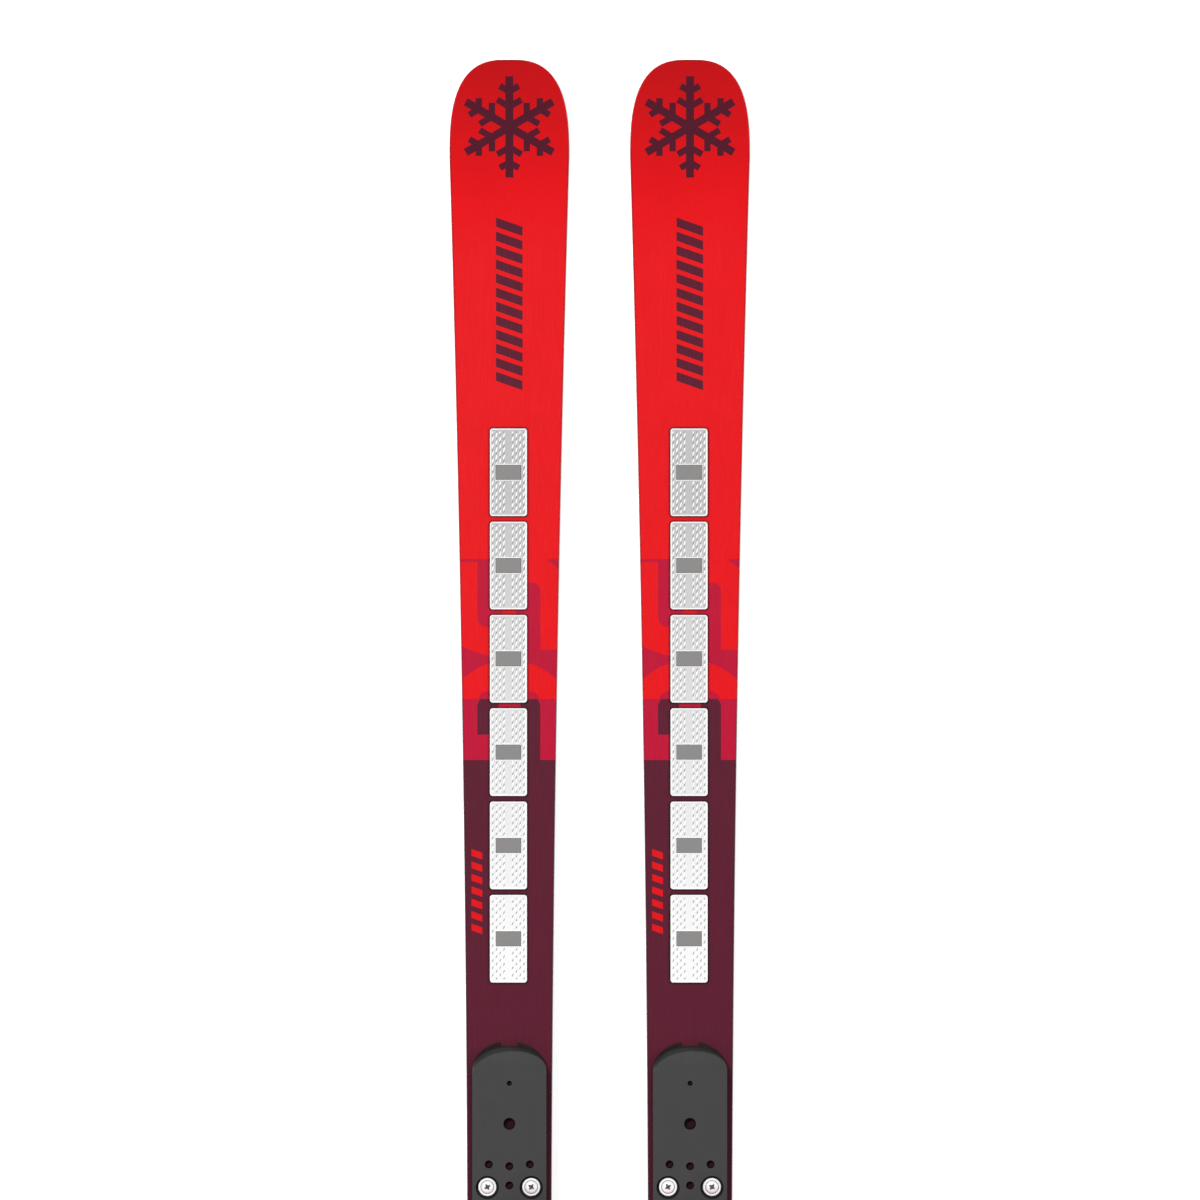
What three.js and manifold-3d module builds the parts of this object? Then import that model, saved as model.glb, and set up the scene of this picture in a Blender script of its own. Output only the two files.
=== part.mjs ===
// A pair of giant slalom race skis with binding plates and step-in bindings, lying on their bases.
// Millimetres. +Y points to the tips, +X to the right and +Z up. The origin is on the floor, in the
// middle of the pair. Along a ski, s is the distance back from the tip, so y = SKI_LENGTH / 2 - s.
// Sizes are written as [x, s] in plan, [s, z] in a side profile and [x, z] in a cross-section.
import * as THREE from 'three';
import { mergeVertices } from 'three/addons/utils/BufferGeometryUtils.js';
import Module from 'manifold-3d';

const wasm = await Module();
wasm.setup();

// ---- Driving dimensions: the ski ----
const SKI_LENGTH = 1930;
const SKI_SPACING = 140; // from one ski's centre line to the other's
const WAIST_WIDTH = 65;
const WAIST_AT = 1030;
const FRONT_SIDECUT_RADIUS = 32600;
const REAR_SIDECUT_RADIUS = 42000;
const TIP_LENGTH = 75; // the rounded part of the outline
const TIP_ROUNDNESS = 2.8; // exponent of the superellipse
const TAIL_LENGTH = 20;
const TAIL_ROUNDNESS = 3;

const FRONT_CONTACT = 150; // where the base first meets the snow
const REAR_CONTACT = 1880;
const CAMBER = 6;
const TIP_RISE = 42;
const TAIL_RISE = 8;
const RISE_POWER = 2.3;

const TIP_THICKNESS = 5.2;
const TAIL_THICKNESS = 7;
const DECK_HEIGHT = 22.5; // top of the ski where the plates sit, which is flat
const DECK_START = 750;
const DECK_END = 1385;

const GLUE = 0.1; // gap between bonded layers
const BASE_THICKNESS = 1.8;
const EDGE_WIDTH = 2;
const LAMINATE_THICKNESS = 0.7;
const TOPSHEET_THICKNESS = 0.7;
const SIDEWALL_WIDTH = 8;
const SIDEWALL_SLOPE = 0.4; // how far the sidewall leans in from bottom to top
const LAMINATE_INSET = 0.05;

// ---- Driving dimensions: damper modules ----
const DAMPER_COUNT = 6;
const DAMPER_FIRST = 285.5;
const DAMPER_PITCH = 72.3;
const DAMPER_LENGTH = 68;
const DAMPER_WIDTH = 28.8;
const DAMPER_SHIFT = -0.7; // how far they sit beside the ski's centre line
const DAMPER_THICKNESS = 1.5;
const DAMPER_CLEARANCE = 0.4; // height of the elastomer bed under each module
const DAMPER_CORNER = 2.3;
const DAMPER_WINDOW = { width: 19.6, length: 11.6 };

// ---- Driving dimensions: binding plate ----
const PAD_THICKNESS = 2;
const PLATE_THICKNESS = 9;
const PLATE_WIDTH = 57.4;
const PLATE_START = 764;
const PLATE_SPLIT = 1090;
const PLATE_SPLIT_GAP = 4;
const PLATE_END = 1372;
const PLATE_NOSE = 19; // length of the rounded nose
const PLATE_CHAMFER = { length: 4.6, depth: 3 }; // at the top of the nose
const PAD_OVERHANG = 0.2; // how far the pad shows on each side of the plate
const PAD_MARGIN = 3.5; // how far the pad's nose shows in front of the plate
const PAD_NOTCH = { width: 14, depth: 9 };
const SCREW_SEAT = { radius: 8.7, depth: 3, hole: 3 };
const PLATE_TOP = DECK_HEIGHT + PAD_THICKNESS + PLATE_THICKNESS;

// ---- Driving dimensions: binding ----
const CLEARANCE = 0.3;
const SOLE_HEIGHT = 54; // the plane that the boot's sole stands on
const WING_PIVOT = { x: 19.5, s: 935, pin: 3 };
const WING_BOTTOM = 52;
const WING_TOP = 78;
const TOE_SCREW = { s: 891.5, z: 60, length: 15, radius: 5 };
const TRACK = { start: 1212, end: 1342, foot: 18, flange: 22, neck: 3, height: 6.6 };
const CARRIAGE = { start: 1246, end: 1326, deck: 45, halfWidth: 27, cheek: 4.6 };
const HEEL_PIVOT = { s: 1290, z: 58, pin: 4 };
const LEVER_PIVOT = { s: 1272, z: 90, pin: 3 };
const HEEL_HALF_WIDTH = 21;
const HEEL_SCREW = { s: 1299.5, z: 75, length: 15, radius: 5 };
const BRAKE_PIVOT = { s: 1195, z: 41, rod: 2.75 };
const PEDAL_PIVOT = { s: 1158, z: 49.5, pin: 2 };
const BRAKE_HALF_WIDTH = 38;
const BRAKE_SHOE_WIDTH = 8;

// ---- Solids and geometry ----

/** A three.js geometry as a manifold-3d solid. */
function solidOf(geometry) {
  const bare = geometry.clone();
  bare.deleteAttribute('normal');
  bare.deleteAttribute('uv');
  const merged = mergeVertices(bare, 1e-4);
  return new wasm.Manifold(new wasm.Mesh({
    numProp: 3,
    vertProperties: merged.attributes.position.array,
    triVerts: new Uint32Array(merged.index.array),
  }));
}

/** A manifold-3d solid as a three.js geometry. */
function geometryOf(solid) {
  const { numProp, vertProperties, triVerts } = solid.getMesh();
  const points = [];
  for (let i = 0; i < vertProperties.length; i += numProp) points.push(...vertProperties.subarray(i, i + 3));
  const geometry = new THREE.BufferGeometry();
  geometry.setAttribute('position', new THREE.Float32BufferAttribute(points, 3));
  geometry.setIndex(Array.from(triVerts));
  return geometry;
}

const join = (first, ...others) =>
  geometryOf(others.reduce((all, other) => all.add(solidOf(other)), solidOf(first)));
const cut = (first, ...others) =>
  geometryOf(others.reduce((all, other) => all.subtract(solidOf(other)), solidOf(first)));
const common = (first, second) => geometryOf(solidOf(first).intersect(solidOf(second)));

const yAt = (s) => SKI_LENGTH / 2 - s;

/** A closed solid through rings of [x, y, z] points, with flat ends. */
function loft(rings) {
  const count = rings[0].length;
  const last = (rings.length - 1) * count;
  const index = [];
  for (let k = 0; k + 1 < rings.length; k++) {
    for (let i = 0; i < count; i++) {
      const a = k * count + i;
      const b = k * count + ((i + 1) % count);
      index.push(a, a + count, b, b, a + count, b + count);
    }
  }
  for (let i = 1; i + 1 < count; i++) index.push(0, i, i + 1, last, last + i + 1, last + i);
  const geometry = new THREE.BufferGeometry();
  geometry.setAttribute('position', new THREE.Float32BufferAttribute(rings.flat(2), 3));
  geometry.setIndex(index);
  return geometry;
}

/** Points of a closed outline whose corners are [a, b, radius], each rounded in a few steps. */
function rounded(corners, steps = 3) {
  return corners.flatMap(([a, b, radius = 0], i) => {
    const corner = new THREE.Vector2(a, b);
    if (!radius) return [corner];
    const [toLast, toNext] = [corners.at(i - 1), corners[(i + 1) % corners.length]].map(
      ([c, d]) => new THREE.Vector2(c, d).sub(corner).normalize());
    const half = Math.acos(toLast.dot(toNext)) / 2;
    const middle = toLast.clone().add(toNext).normalize().multiplyScalar(radius / Math.sin(half)).add(corner);
    const start = corner.clone().addScaledVector(toLast, radius / Math.tan(half)).sub(middle);
    const turn = (Math.PI - 2 * half) * Math.sign(start.cross(corner.clone().sub(middle)));
    return Array.from({ length: steps + 1 }, (_, k) =>
      start.clone().rotateAround(new THREE.Vector2(), (turn * k) / steps).add(middle));
  });
}

const circle = (x, s, radius, sides = 12) => Array.from({ length: sides }, (_, k) => {
  const turn = (2 * Math.PI * k) / sides;
  return new THREE.Vector2(x + radius * Math.cos(turn), s + radius * Math.sin(turn));
});

const flat = (bottom, top) => ({ depth: top - bottom, bevelEnabled: false });

/** A plan outline in [x, s], extruded from bottom to top, with round or square holes through it. */
function slab(outline, bottom, top, holes = []) {
  const inPlan = (points) => {
    const placed = points.map((p) => new THREE.Vector2(p.x, yAt(p.y)));
    return THREE.ShapeUtils.isClockWise(placed) ? placed.reverse() : placed;
  };
  const shape = new THREE.Shape(inPlan(outline));
  shape.holes = holes.map((hole) => new THREE.Path(inPlan(hole)));
  return new THREE.ExtrudeGeometry(shape, flat(bottom, top)).translate(0, 0, bottom);
}

/** A side profile in [s, z], extruded across the ski from left to right. */
function across(profile, left, right) {
  const shape = new THREE.Shape(profile.map((p) => new THREE.Vector2(yAt(p.x), p.y)));
  const turn = new THREE.Matrix4().makeBasis(
    new THREE.Vector3(0, 1, 0), new THREE.Vector3(0, 0, 1), new THREE.Vector3(1, 0, 0));
  return new THREE.ExtrudeGeometry(shape, flat(left, right)).applyMatrix4(turn).translate(left, 0, 0);
}

/** A cross-section in [x, z], extruded along the ski between two distances from the tip. */
function along(section, start, end) {
  const shape = new THREE.Shape(section.map(([x, z]) => new THREE.Vector2(x, z)));
  const turn = new THREE.Matrix4().makeBasis(
    new THREE.Vector3(1, 0, 0), new THREE.Vector3(0, 0, 1), new THREE.Vector3(0, -1, 0));
  return new THREE.ExtrudeGeometry(shape, flat(start, end)).applyMatrix4(turn).translate(0, yAt(start), 0);
}

const box = (x0, x1, s0, s1, z0, z1) => new THREE.BoxGeometry(x1 - x0, s1 - s0, z1 - z0)
  .translate((x0 + x1) / 2, yAt((s0 + s1) / 2), (z0 + z1) / 2);

const rodAcross = (s, z, radius, left, right, sides = 12) =>
  new THREE.CylinderGeometry(radius, radius, right - left, sides)
    .rotateZ(Math.PI / 2).translate((left + right) / 2, yAt(s), z);

const rodAlong = (x, z, radius, start, end, sides = 12) =>
  new THREE.CylinderGeometry(radius, radius, end - start, sides).translate(x, yAt((start + end) / 2), z);

const rodUp = (x, s, radius, bottom, top, sides = 12) =>
  new THREE.CylinderGeometry(radius, radius, top - bottom, sides)
    .rotateX(Math.PI / 2).translate(x, yAt(s), (bottom + top) / 2);

/** A round rod along points of [x, s, z] that stays roughly level. */
function bentRod(points, radius, sides = 8) {
  const path = points.map(([x, s, z]) => new THREE.Vector3(x, yAt(s), z));
  const up = new THREE.Vector3(0, 0, 1);
  return loft(path.map((p, i) => {
    const before = path[Math.max(i - 1, 0)];
    const after = path[Math.min(i + 1, path.length - 1)];
    const ahead = after.clone().sub(p).normalize().add(p.clone().sub(before).normalize()).normalize();
    const side = ahead.clone().cross(up).normalize();
    const over = side.clone().cross(ahead);
    const step = after.clone().sub(p).normalize();
    const mitre = step.length() && i ? 1 / Math.max(0.5, step.dot(ahead)) : 1;
    return Array.from({ length: sides }, (_, k) => {
      const turn = (2 * Math.PI * (k + 0.5)) / sides;
      return p.clone().addScaledVector(side, radius * mitre * Math.cos(turn))
        .addScaledVector(over, radius * Math.sin(turn)).toArray();
    });
  }));
}

// ---- The ski's outline and profile ----

const smooth = (t) => t * t * (3 - 2 * t);
const share = (s, from, to) => Math.min(1, Math.max(0, (s - from) / (to - from)));

/** Half the ski's width at s: two sidecut arcs, with a rounded tip and tail. */
function halfWidth(s) {
  const inner = Math.min(Math.max(s, TIP_LENGTH), SKI_LENGTH - TAIL_LENGTH);
  const radius = inner < WAIST_AT ? FRONT_SIDECUT_RADIUS : REAR_SIDECUT_RADIUS;
  const sidecut = WAIST_WIDTH / 2 + (inner - WAIST_AT) ** 2 / (2 * radius);
  const round = (t, power) => (1 - t ** power) ** (1 / power);
  const tip = round(1 - share(s, 0, TIP_LENGTH), TIP_ROUNDNESS);
  const tail = round(share(s, SKI_LENGTH - TAIL_LENGTH, SKI_LENGTH), TAIL_ROUNDNESS);
  return sidecut * tip * tail;
}

/** Half the width of the outline moved inwards by inset, which is none near the very ends. */
function insetHalfWidth(s, inset) {
  const step = 0.01;
  const slope = (halfWidth(s + step) - halfWidth(s - step)) / (2 * step);
  return halfWidth(s) - inset * Math.sqrt(1 + slope * slope);
}

/** Height of the running base above the floor. */
function baseHeight(s) {
  if (s < FRONT_CONTACT) return TIP_RISE * ((FRONT_CONTACT - s) / FRONT_CONTACT) ** RISE_POWER;
  if (s > REAR_CONTACT) return TAIL_RISE * share(s, REAR_CONTACT, SKI_LENGTH) ** 2;
  const u = (2 * (s - FRONT_CONTACT)) / (REAR_CONTACT - FRONT_CONTACT) - 1;
  return CAMBER * (1 - u ** 4) ** 2;
}

/** Height of the top of the ski: it swells from the thin tip and tail to the flat deck. */
function topHeight(s) {
  if (s >= DECK_START && s <= DECK_END) return DECK_HEIGHT;
  const [end, deck, thin] = s < DECK_START
    ? [FRONT_CONTACT, DECK_START, TIP_THICKNESS]
    : [REAR_CONTACT, DECK_END, TAIL_THICKNESS];
  const full = DECK_HEIGHT - baseHeight(deck);
  return baseHeight(s) + thin + (full - thin) * smooth(share(s, end, deck));
}

/** Values from a to b in equal steps, without b itself. */
const spread = (a, b, count) => Array.from({ length: count }, (_, k) => a + ((b - a) * k) / count);

/** The places along the ski where its shape is worked out, closer together at the rounded ends. */
const STATIONS = [
  ...spread(0.06, 1, 9).map((t) => TIP_LENGTH * t * t),
  ...spread(TIP_LENGTH, FRONT_CONTACT, 2),
  ...spread(FRONT_CONTACT, DECK_START, 8),
  ...spread(DECK_START, DECK_END, 4),
  ...spread(DECK_END, REAR_CONTACT, 6),
  ...spread(REAR_CONTACT, SKI_LENGTH - TAIL_LENGTH, 2),
  ...spread(0, 1, 5).map((t) => SKI_LENGTH - TAIL_LENGTH * (1 - t) ** 2),
  SKI_LENGTH - 0.05,
];

/** One layer of the ski between two heights, with its lower and upper edges moved inwards. */
function layer(bottomAt, topAt, bottomInset, topInset = bottomInset) {
  const narrowest = 1;
  const rings = STATIONS
    .filter((s) => insetHalfWidth(s, Math.max(bottomInset, topInset)) > narrowest)
    .map((s) => {
      const [low, high] = [insetHalfWidth(s, bottomInset), insetHalfWidth(s, topInset)];
      const [y, bottom, top] = [yAt(s), bottomAt(s), topAt(s)];
      return [[-low, y, bottom], [low, y, bottom], [high, y, top], [-high, y, top]];
    });
  return loft(rings.reverse());
}

const above = (height) => (s) => baseHeight(s) + height;
const below = (depth) => (s) => topHeight(s) - depth;

/** A ring-shaped layer: the full layer with its middle taken out. */
const rim = (bottomAt, topAt, bottomInset, topInset, width) => cut(
  layer(bottomAt, topAt, bottomInset, topInset),
  layer((s) => bottomAt(s) - 2, (s) => topAt(s) + 2, width));

const LOWER_LAMINATE_BOTTOM = BASE_THICKNESS + GLUE;
const CORE_BOTTOM = LOWER_LAMINATE_BOTTOM + LAMINATE_THICKNESS + GLUE;
const UPPER_LAMINATE_TOP = TOPSHEET_THICKNESS + GLUE; // depths below the top of the ski
const CORE_TOP = UPPER_LAMINATE_TOP + LAMINATE_THICKNESS + GLUE;
const TOP_INSET = LAMINATE_INSET + SIDEWALL_SLOPE;

function skiLayers() {
  return {
    running_base: [layer(above(0), above(BASE_THICKNESS), EDGE_WIDTH + GLUE), 'base'],
    steel_edge: [rim(above(0), above(BASE_THICKNESS), 0, 0, EDGE_WIDTH), 'steel'],
    lower_laminate: [
      layer(above(LOWER_LAMINATE_BOTTOM), above(LOWER_LAMINATE_BOTTOM + LAMINATE_THICKNESS), LAMINATE_INSET),
      'laminate',
    ],
    wood_core: [layer(above(CORE_BOTTOM), below(CORE_TOP), SIDEWALL_WIDTH + CLEARANCE), 'wood'],
    sidewall: [
      rim(above(CORE_BOTTOM), below(CORE_TOP), LAMINATE_INSET, TOP_INSET, SIDEWALL_WIDTH),
      'sidewall',
    ],
    upper_laminate: [
      layer(below(UPPER_LAMINATE_TOP + LAMINATE_THICKNESS), below(UPPER_LAMINATE_TOP), TOP_INSET),
      'laminate',
    ],
    topsheet: [layer(below(TOPSHEET_THICKNESS), below(0), TOP_INSET), 'topsheet'],
  };
}

// ---- Damper modules: steel plates on elastomer, in a row along the front of the ski ----

/** A rectangle centred on x = 0, as corners for rounded(). */
const rectangle = (halfWide, start, end, radius = 0) => [
  [-halfWide, start, radius], [halfWide, start, radius], [halfWide, end, radius], [-halfWide, end, radius]];

/** Lays a flat slab on the ski by raising each vertex to the ski's top there. */
function draped(geometry) {
  const position = geometry.attributes.position;
  for (let i = 0; i < position.count; i++) {
    position.setZ(i, position.getZ(i) + topHeight(SKI_LENGTH / 2 - position.getY(i)));
  }
  return geometry;
}

function damper(number) {
  const start = DAMPER_FIRST + number * DAMPER_PITCH;
  const middle = start + DAMPER_LENGTH / 2;
  const { width, length } = DAMPER_WINDOW;
  const beside = (outline) => outline.map((p) => new THREE.Vector2(p.x + DAMPER_SHIFT, p.y));
  return draped(slab(
    beside(rounded(rectangle(DAMPER_WIDTH / 2, start, start + DAMPER_LENGTH, DAMPER_CORNER), 2)),
    DAMPER_CLEARANCE, DAMPER_CLEARANCE + DAMPER_THICKNESS,
    [beside(rounded(rectangle(width / 2, middle - length / 2, middle + length / 2)))]));
}

// ---- Binding plate ----

/** A strip with one elliptical nose, towards the tip if nose is above zero or else towards the tail. */
function noseOutline(halfWide, start, end, nose, steps = 8) {
  const [tipwards, length] = [nose > 0, Math.abs(nose)];
  const arc = Array.from({ length: steps + 1 }, (_, k) => {
    const turn = (Math.PI * k) / steps;
    const reach = length * (1 - Math.sin(turn));
    return new THREE.Vector2(-halfWide * Math.cos(turn), tipwards ? start + reach : end - reach);
  });
  const flatEnd = tipwards ? end : start;
  return [...arc, new THREE.Vector2(halfWide, flatEnd), new THREE.Vector2(-halfWide, flatEnd)];
}

/** The space below the front plate's chamfer, whose nose comes forward as it goes down. */
function chamferedNose() {
  const { length, depth } = PLATE_CHAMFER;
  const rising = 10;
  const reach = (length * (rising + depth)) / depth;
  const level = (z, shift) => noseOutline(PLATE_WIDTH / 2, PLATE_START + shift, PLATE_END, PLATE_NOSE - shift)
    .map((p) => [p.x, yAt(p.y), z]);
  return loft([level(PLATE_TOP - depth - rising, length - reach), level(PLATE_TOP, length)]);
}

const seatsAt = (s, xs) => xs.flatMap((x) => [
  rodUp(x, s, SCREW_SEAT.radius, PLATE_TOP - SCREW_SEAT.depth, PLATE_TOP + 5, 16),
  rodUp(x, s, SCREW_SEAT.hole, DECK_HEIGHT, PLATE_TOP + 5, 8)]);

const PLATE_SCREW_X = 17;
const FRONT_SCREWS_AT = 873.4;
const REAR_SCREWS_AT = 1360;

function plates() {
  const bottom = DECK_HEIGHT + PAD_THICKNESS;
  const wide = PLATE_WIDTH / 2;
  const notch = box(-PAD_NOTCH.width / 2, PAD_NOTCH.width / 2, PLATE_START - 10,
    PLATE_START - PAD_MARGIN + PAD_NOTCH.depth, 0, PLATE_TOP);
  const holes = [
    circle(0, 792.8, 1.95, 8), circle(0, 824.2, 4.6), circle(0, 857, 3.1, 8), circle(0, 871.9, 3.1, 8),
    circle(-15.9, 855.6, 3.1, 8), circle(15.9, 855.6, 3.1, 8)];
  const frontEnd = PLATE_SPLIT - PLATE_SPLIT_GAP / 2;
  const rearStart = PLATE_SPLIT + PLATE_SPLIT_GAP / 2;
  const screws = [-PLATE_SCREW_X, PLATE_SCREW_X];
  const front = slab(noseOutline(wide, PLATE_START, frontEnd, PLATE_NOSE), bottom, PLATE_TOP, holes);
  const padWide = wide + PAD_OVERHANG;
  const padNose = noseOutline(padWide, PLATE_START - PAD_MARGIN, PLATE_END, PLATE_NOSE + PAD_MARGIN);
  const padTail = noseOutline(wide + 1, PLATE_START - 10, PLATE_END, -PLATE_NOSE / 2);
  const pad = common(slab(padNose, DECK_HEIGHT, bottom), slab(padTail, DECK_HEIGHT - 1, bottom + 1));
  return {
    plate_pad: [cut(pad, notch), 'rubber'],
    front_plate: [cut(common(front, chamferedNose()), ...seatsAt(FRONT_SCREWS_AT, screws)), 'plate'],
    rear_plate: [cut(
      slab(noseOutline(wide, rearStart, PLATE_END, -PLATE_NOSE / 2), bottom, PLATE_TOP),
      ...seatsAt(REAR_SCREWS_AT, [0])), 'plate'],
  };
}

// ---- Toe piece ----

function toeBase() {
  const step = PLATE_TOP + 6.5;
  const platform = SOLE_HEIGHT - 5;
  const side = [
    [889, PLATE_TOP], [889, step - 2, 1], [893, step, 2], [955, step], [958, platform, 1],
    [1004, platform, 1], [1009, platform - 4], [1009, PLATE_TOP]];
  const plan = [[-20, 889, 8], [20, 889, 8], [28, 903, 6], [28, 1009, 5], [-28, 1009, 5], [-28, 903, 6]];
  return common(across(rounded(side, 2), -40, 40), slab(rounded(plan), PLATE_TOP, SOLE_HEIGHT));
}

function toeHousing() {
  const floor = PLATE_TOP + 6.5;
  const top = 82;
  const flange = WING_TOP + CLEARANCE;
  const nose = [[890.5, floor], [890.5, 66, 6], [900, 76, 8], [914, top, 6], [922, top], [922, floor]];
  const nosePlan = [[-16, 890, 6], [16, 890, 6], [23, 902, 6], [23, 922], [-23, 922], [-23, 902, 6]];
  const lidPlan = [[-23, 918], [23, 918], [30, 930, 8], [27, 944, 6], [-27, 944, 6], [-30, 930, 8]];
  const pin = (x) => rodUp(x, WING_PIVOT.s, WING_PIVOT.pin, floor, flange + 1, 8);
  const body = join(
    common(across(rounded(nose, 2), -30, 30), slab(rounded(nosePlan, 2), floor, top)),
    box(-9.5, 9.5, 920, 947, floor, top - 1),
    slab(rounded(lidPlan, 2), flange, top),
    pin(-WING_PIVOT.x), pin(WING_PIVOT.x));
  const { s, z, length, radius } = TOE_SCREW;
  return cut(body, rodAlong(0, z, radius + CLEARANCE, s - 10, s + length + 1));
}

/** A toe wing on the side given by sign: it grips the boot's toe and swings out round its pin. */
function toeWing(sign) {
  const plan = [
    [12, 929, 5], [12, 950.9], [20, 954.6], [26, 959], [31, 964.5], [34.5, 971, 2], [40.5, 972, 3],
    [39.5, 955, 10], [33, 939, 8], [27.5, 928, 6]];
  const outline = rounded(plan.map(([x, s, r]) => [sign * x, s, r]), 2);
  const hole = circle(sign * WING_PIVOT.x, WING_PIVOT.s, WING_PIVOT.pin + CLEARANCE, 8);
  return slab(outline, WING_BOTTOM, WING_TOP, [hole]);
}

const afdSlider = () => slab(
  rounded(rectangle(23, 965, 1001, 4), 2), SOLE_HEIGHT - 5 + CLEARANCE, SOLE_HEIGHT);

const adjustingScrew = ({ s, z, length, radius }) => rodAlong(0, z, radius, s, s + length, 16);

// ---- Heel piece ----

const TRACK_TOP = PLATE_TOP + TRACK.height;

const heelTrack = () => along([
  [-TRACK.foot, PLATE_TOP], [TRACK.foot, PLATE_TOP], [TRACK.foot, PLATE_TOP + TRACK.neck],
  [TRACK.flange, PLATE_TOP + TRACK.neck], [TRACK.flange, TRACK_TOP], [-TRACK.flange, TRACK_TOP],
  [-TRACK.flange, PLATE_TOP + TRACK.neck], [-TRACK.foot, PLATE_TOP + TRACK.neck]], TRACK.start, TRACK.end);

function heelCarriage() {
  const { start, end, deck, halfWidth: outer, cheek } = CARRIAGE;
  const wall = TRACK.flange + CLEARANCE;
  const lip = TRACK.foot + 1;
  const low = PLATE_TOP + CLEARANCE;
  const lipTop = PLATE_TOP + TRACK.neck - CLEARANCE;
  const floor = TRACK_TOP + CLEARANCE;
  const rightHalf = [[wall, floor], [wall, lipTop], [lip, lipTop], [lip, low], [outer, low], [outer, deck]];
  const leftHalf = rightHalf.map(([x, z]) => [-x, z]).reverse();
  const side = rounded([
    [HEEL_PIVOT.s - 16, deck - 1], [HEEL_PIVOT.s - 12, 70, 6], [HEEL_PIVOT.s + 12, 70, 6],
    [HEEL_PIVOT.s + 16, deck - 1]], 2);
  return join(
    along([...rightHalf, ...leftHalf], start, end),
    across(side, outer - cheek, outer), across(side, -outer, cheek - outer),
    rodAcross(HEEL_PIVOT.s, HEEL_PIVOT.z, HEEL_PIVOT.pin, cheek / 2 - outer, outer - cheek / 2));
}

function heelHousing() {
  const side = [
    [1237, 50, 1.5], [1237, SOLE_HEIGHT, 1.5], [1251, 55], [1251, 84.5], [1240, 85.5, 2], [1241, 96, 4],
    [1256, 102, 6], [1284, 101, 3], [1292, 91], [1314, 84, 3], [1314, 66, 4], [1300, 52, 4], [1280, 47, 6],
    [1252, 50]];
  const wide = HEEL_HALF_WIDTH;
  return cut(
    across(rounded(side, 2), -wide, wide),
    rodAcross(HEEL_PIVOT.s, HEEL_PIVOT.z, HEEL_PIVOT.pin + CLEARANCE, -30, 30),
    rodAcross(LEVER_PIVOT.s, LEVER_PIVOT.z, LEVER_PIVOT.pin + CLEARANCE, -30, 30, 8),
    rodAlong(0, HEEL_SCREW.z, HEEL_SCREW.radius + CLEARANCE, HEEL_SCREW.s - 1, 1330));
}

function heelLever() {
  const [inside, outside] = [HEEL_HALF_WIDTH + 0.6, 26];
  const arm = [[1264, 84, 6], [1266, 98, 6], [1296, 118], [1310, 119], [1308, 108], [1282, 86, 6]];
  const handle = [
    [1291, 107, 1.5], [1290, 115, 3], [1306, 119, 4], [1352, 125, 2.5], [1354, 120, 2], [1312, 112]];
  const handlePlan = [[-26, 1288], [26, 1288], [25, 1356, 9], [-25, 1356, 9]];
  const side = (left, right) => across(rounded(arm, 2), left, right);
  return join(
    side(inside, outside), side(-outside, -inside),
    common(across(rounded(handle, 2), -30, 30), slab(rounded(handlePlan), 90, 130)),
    rodAcross(LEVER_PIVOT.s, LEVER_PIVOT.z, LEVER_PIVOT.pin, -24, 24, 8));
}

// ---- Brake ----

function brakeBlock() {
  const side = [
    [1150, PLATE_TOP], [1150, 50, 3], [1154, 53, 2], [1163, 53, 3], [1167, 46], [1206, 46, 3],
    [1208, PLATE_TOP]];
  return cut(
    across(rounded(side, 2), -27, 27),
    box(-21, 21, 1140, 1168, 44, 60),
    rodAcross(BRAKE_PIVOT.s, BRAKE_PIVOT.z, BRAKE_PIVOT.rod + CLEARANCE, -40, 40),
    rodAcross(PEDAL_PIVOT.s, PEDAL_PIVOT.z, PEDAL_PIVOT.pin + CLEARANCE, -40, 40, 8));
}

const brakePedal = () => join(
  across(rounded([[1154.5, 47], [1154.5, 52, 2], [1224, 53, 1.5], [1224, 48.5, 1.5]], 2), -20.5, 20.5),
  box(-26, 26, 1170, 1221, 48.5, 52.5),
  rodAcross(PEDAL_PIVOT.s, PEDAL_PIVOT.z, PEDAL_PIVOT.pin, -26, 26, 8));

/** The steel wire of the brake with a shoe at each end: it turns on its own cross bar. */
function brakeArms() {
  const { s, z, rod } = BRAKE_PIVOT;
  const half = [[29, s, z], [34, s, z], [37, s + 3, z], [BRAKE_HALF_WIDTH, s + 8, z + 0.5],
    [BRAKE_HALF_WIDTH, s + 60, z + 4], [BRAKE_HALF_WIDTH, s + 98, z + 6]];
  const other = half.map(([x, ...rest]) => [-x, ...rest]).reverse();
  const inner = BRAKE_HALF_WIDTH - BRAKE_SHOE_WIDTH / 2;
  const shoe = (left, right) => across(rounded([
    [s + 66, z - 1], [s + 69, z + 10, 3], [s + 104, z + 13, 4], [s + 110, z + 6, 4], [s + 100, z - 1, 4]], 2),
  left, right);
  return join(
    bentRod([...other, ...half], rod),
    shoe(inner, inner + BRAKE_SHOE_WIDTH), shoe(-inner - BRAKE_SHOE_WIDTH, -inner));
}

// ---- Materials ----

const paint = (color, roughness, metalness = 0) =>
  new THREE.MeshStandardMaterial({ color, roughness, metalness });

const MATERIALS = {
  base: paint(0x161616, 0.5),
  steel: paint(0xb9bcc0, 0.35, 1),
  laminate: paint(0x9aa0a6, 0.4, 1),
  wood: paint(0xc9a36a, 0.7),
  sidewall: paint(0x1b1b1d, 0.55),
  topsheet: paint(0xe81f25, 0.35),
  damper: paint(0xe6e6e8, 0.4, 0.3),
  rubber: paint(0x211a1c, 0.8),
  plate: paint(0x484848, 0.6),
  binding_black: paint(0x1d1d20, 0.45),
  binding_red: paint(0xd8202a, 0.35),
  binding_grey: paint(0x5a5b5f, 0.45),
  zinc: paint(0xe4e5e8, 0.3, 1),
};

// ---- Assembly ----

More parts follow.
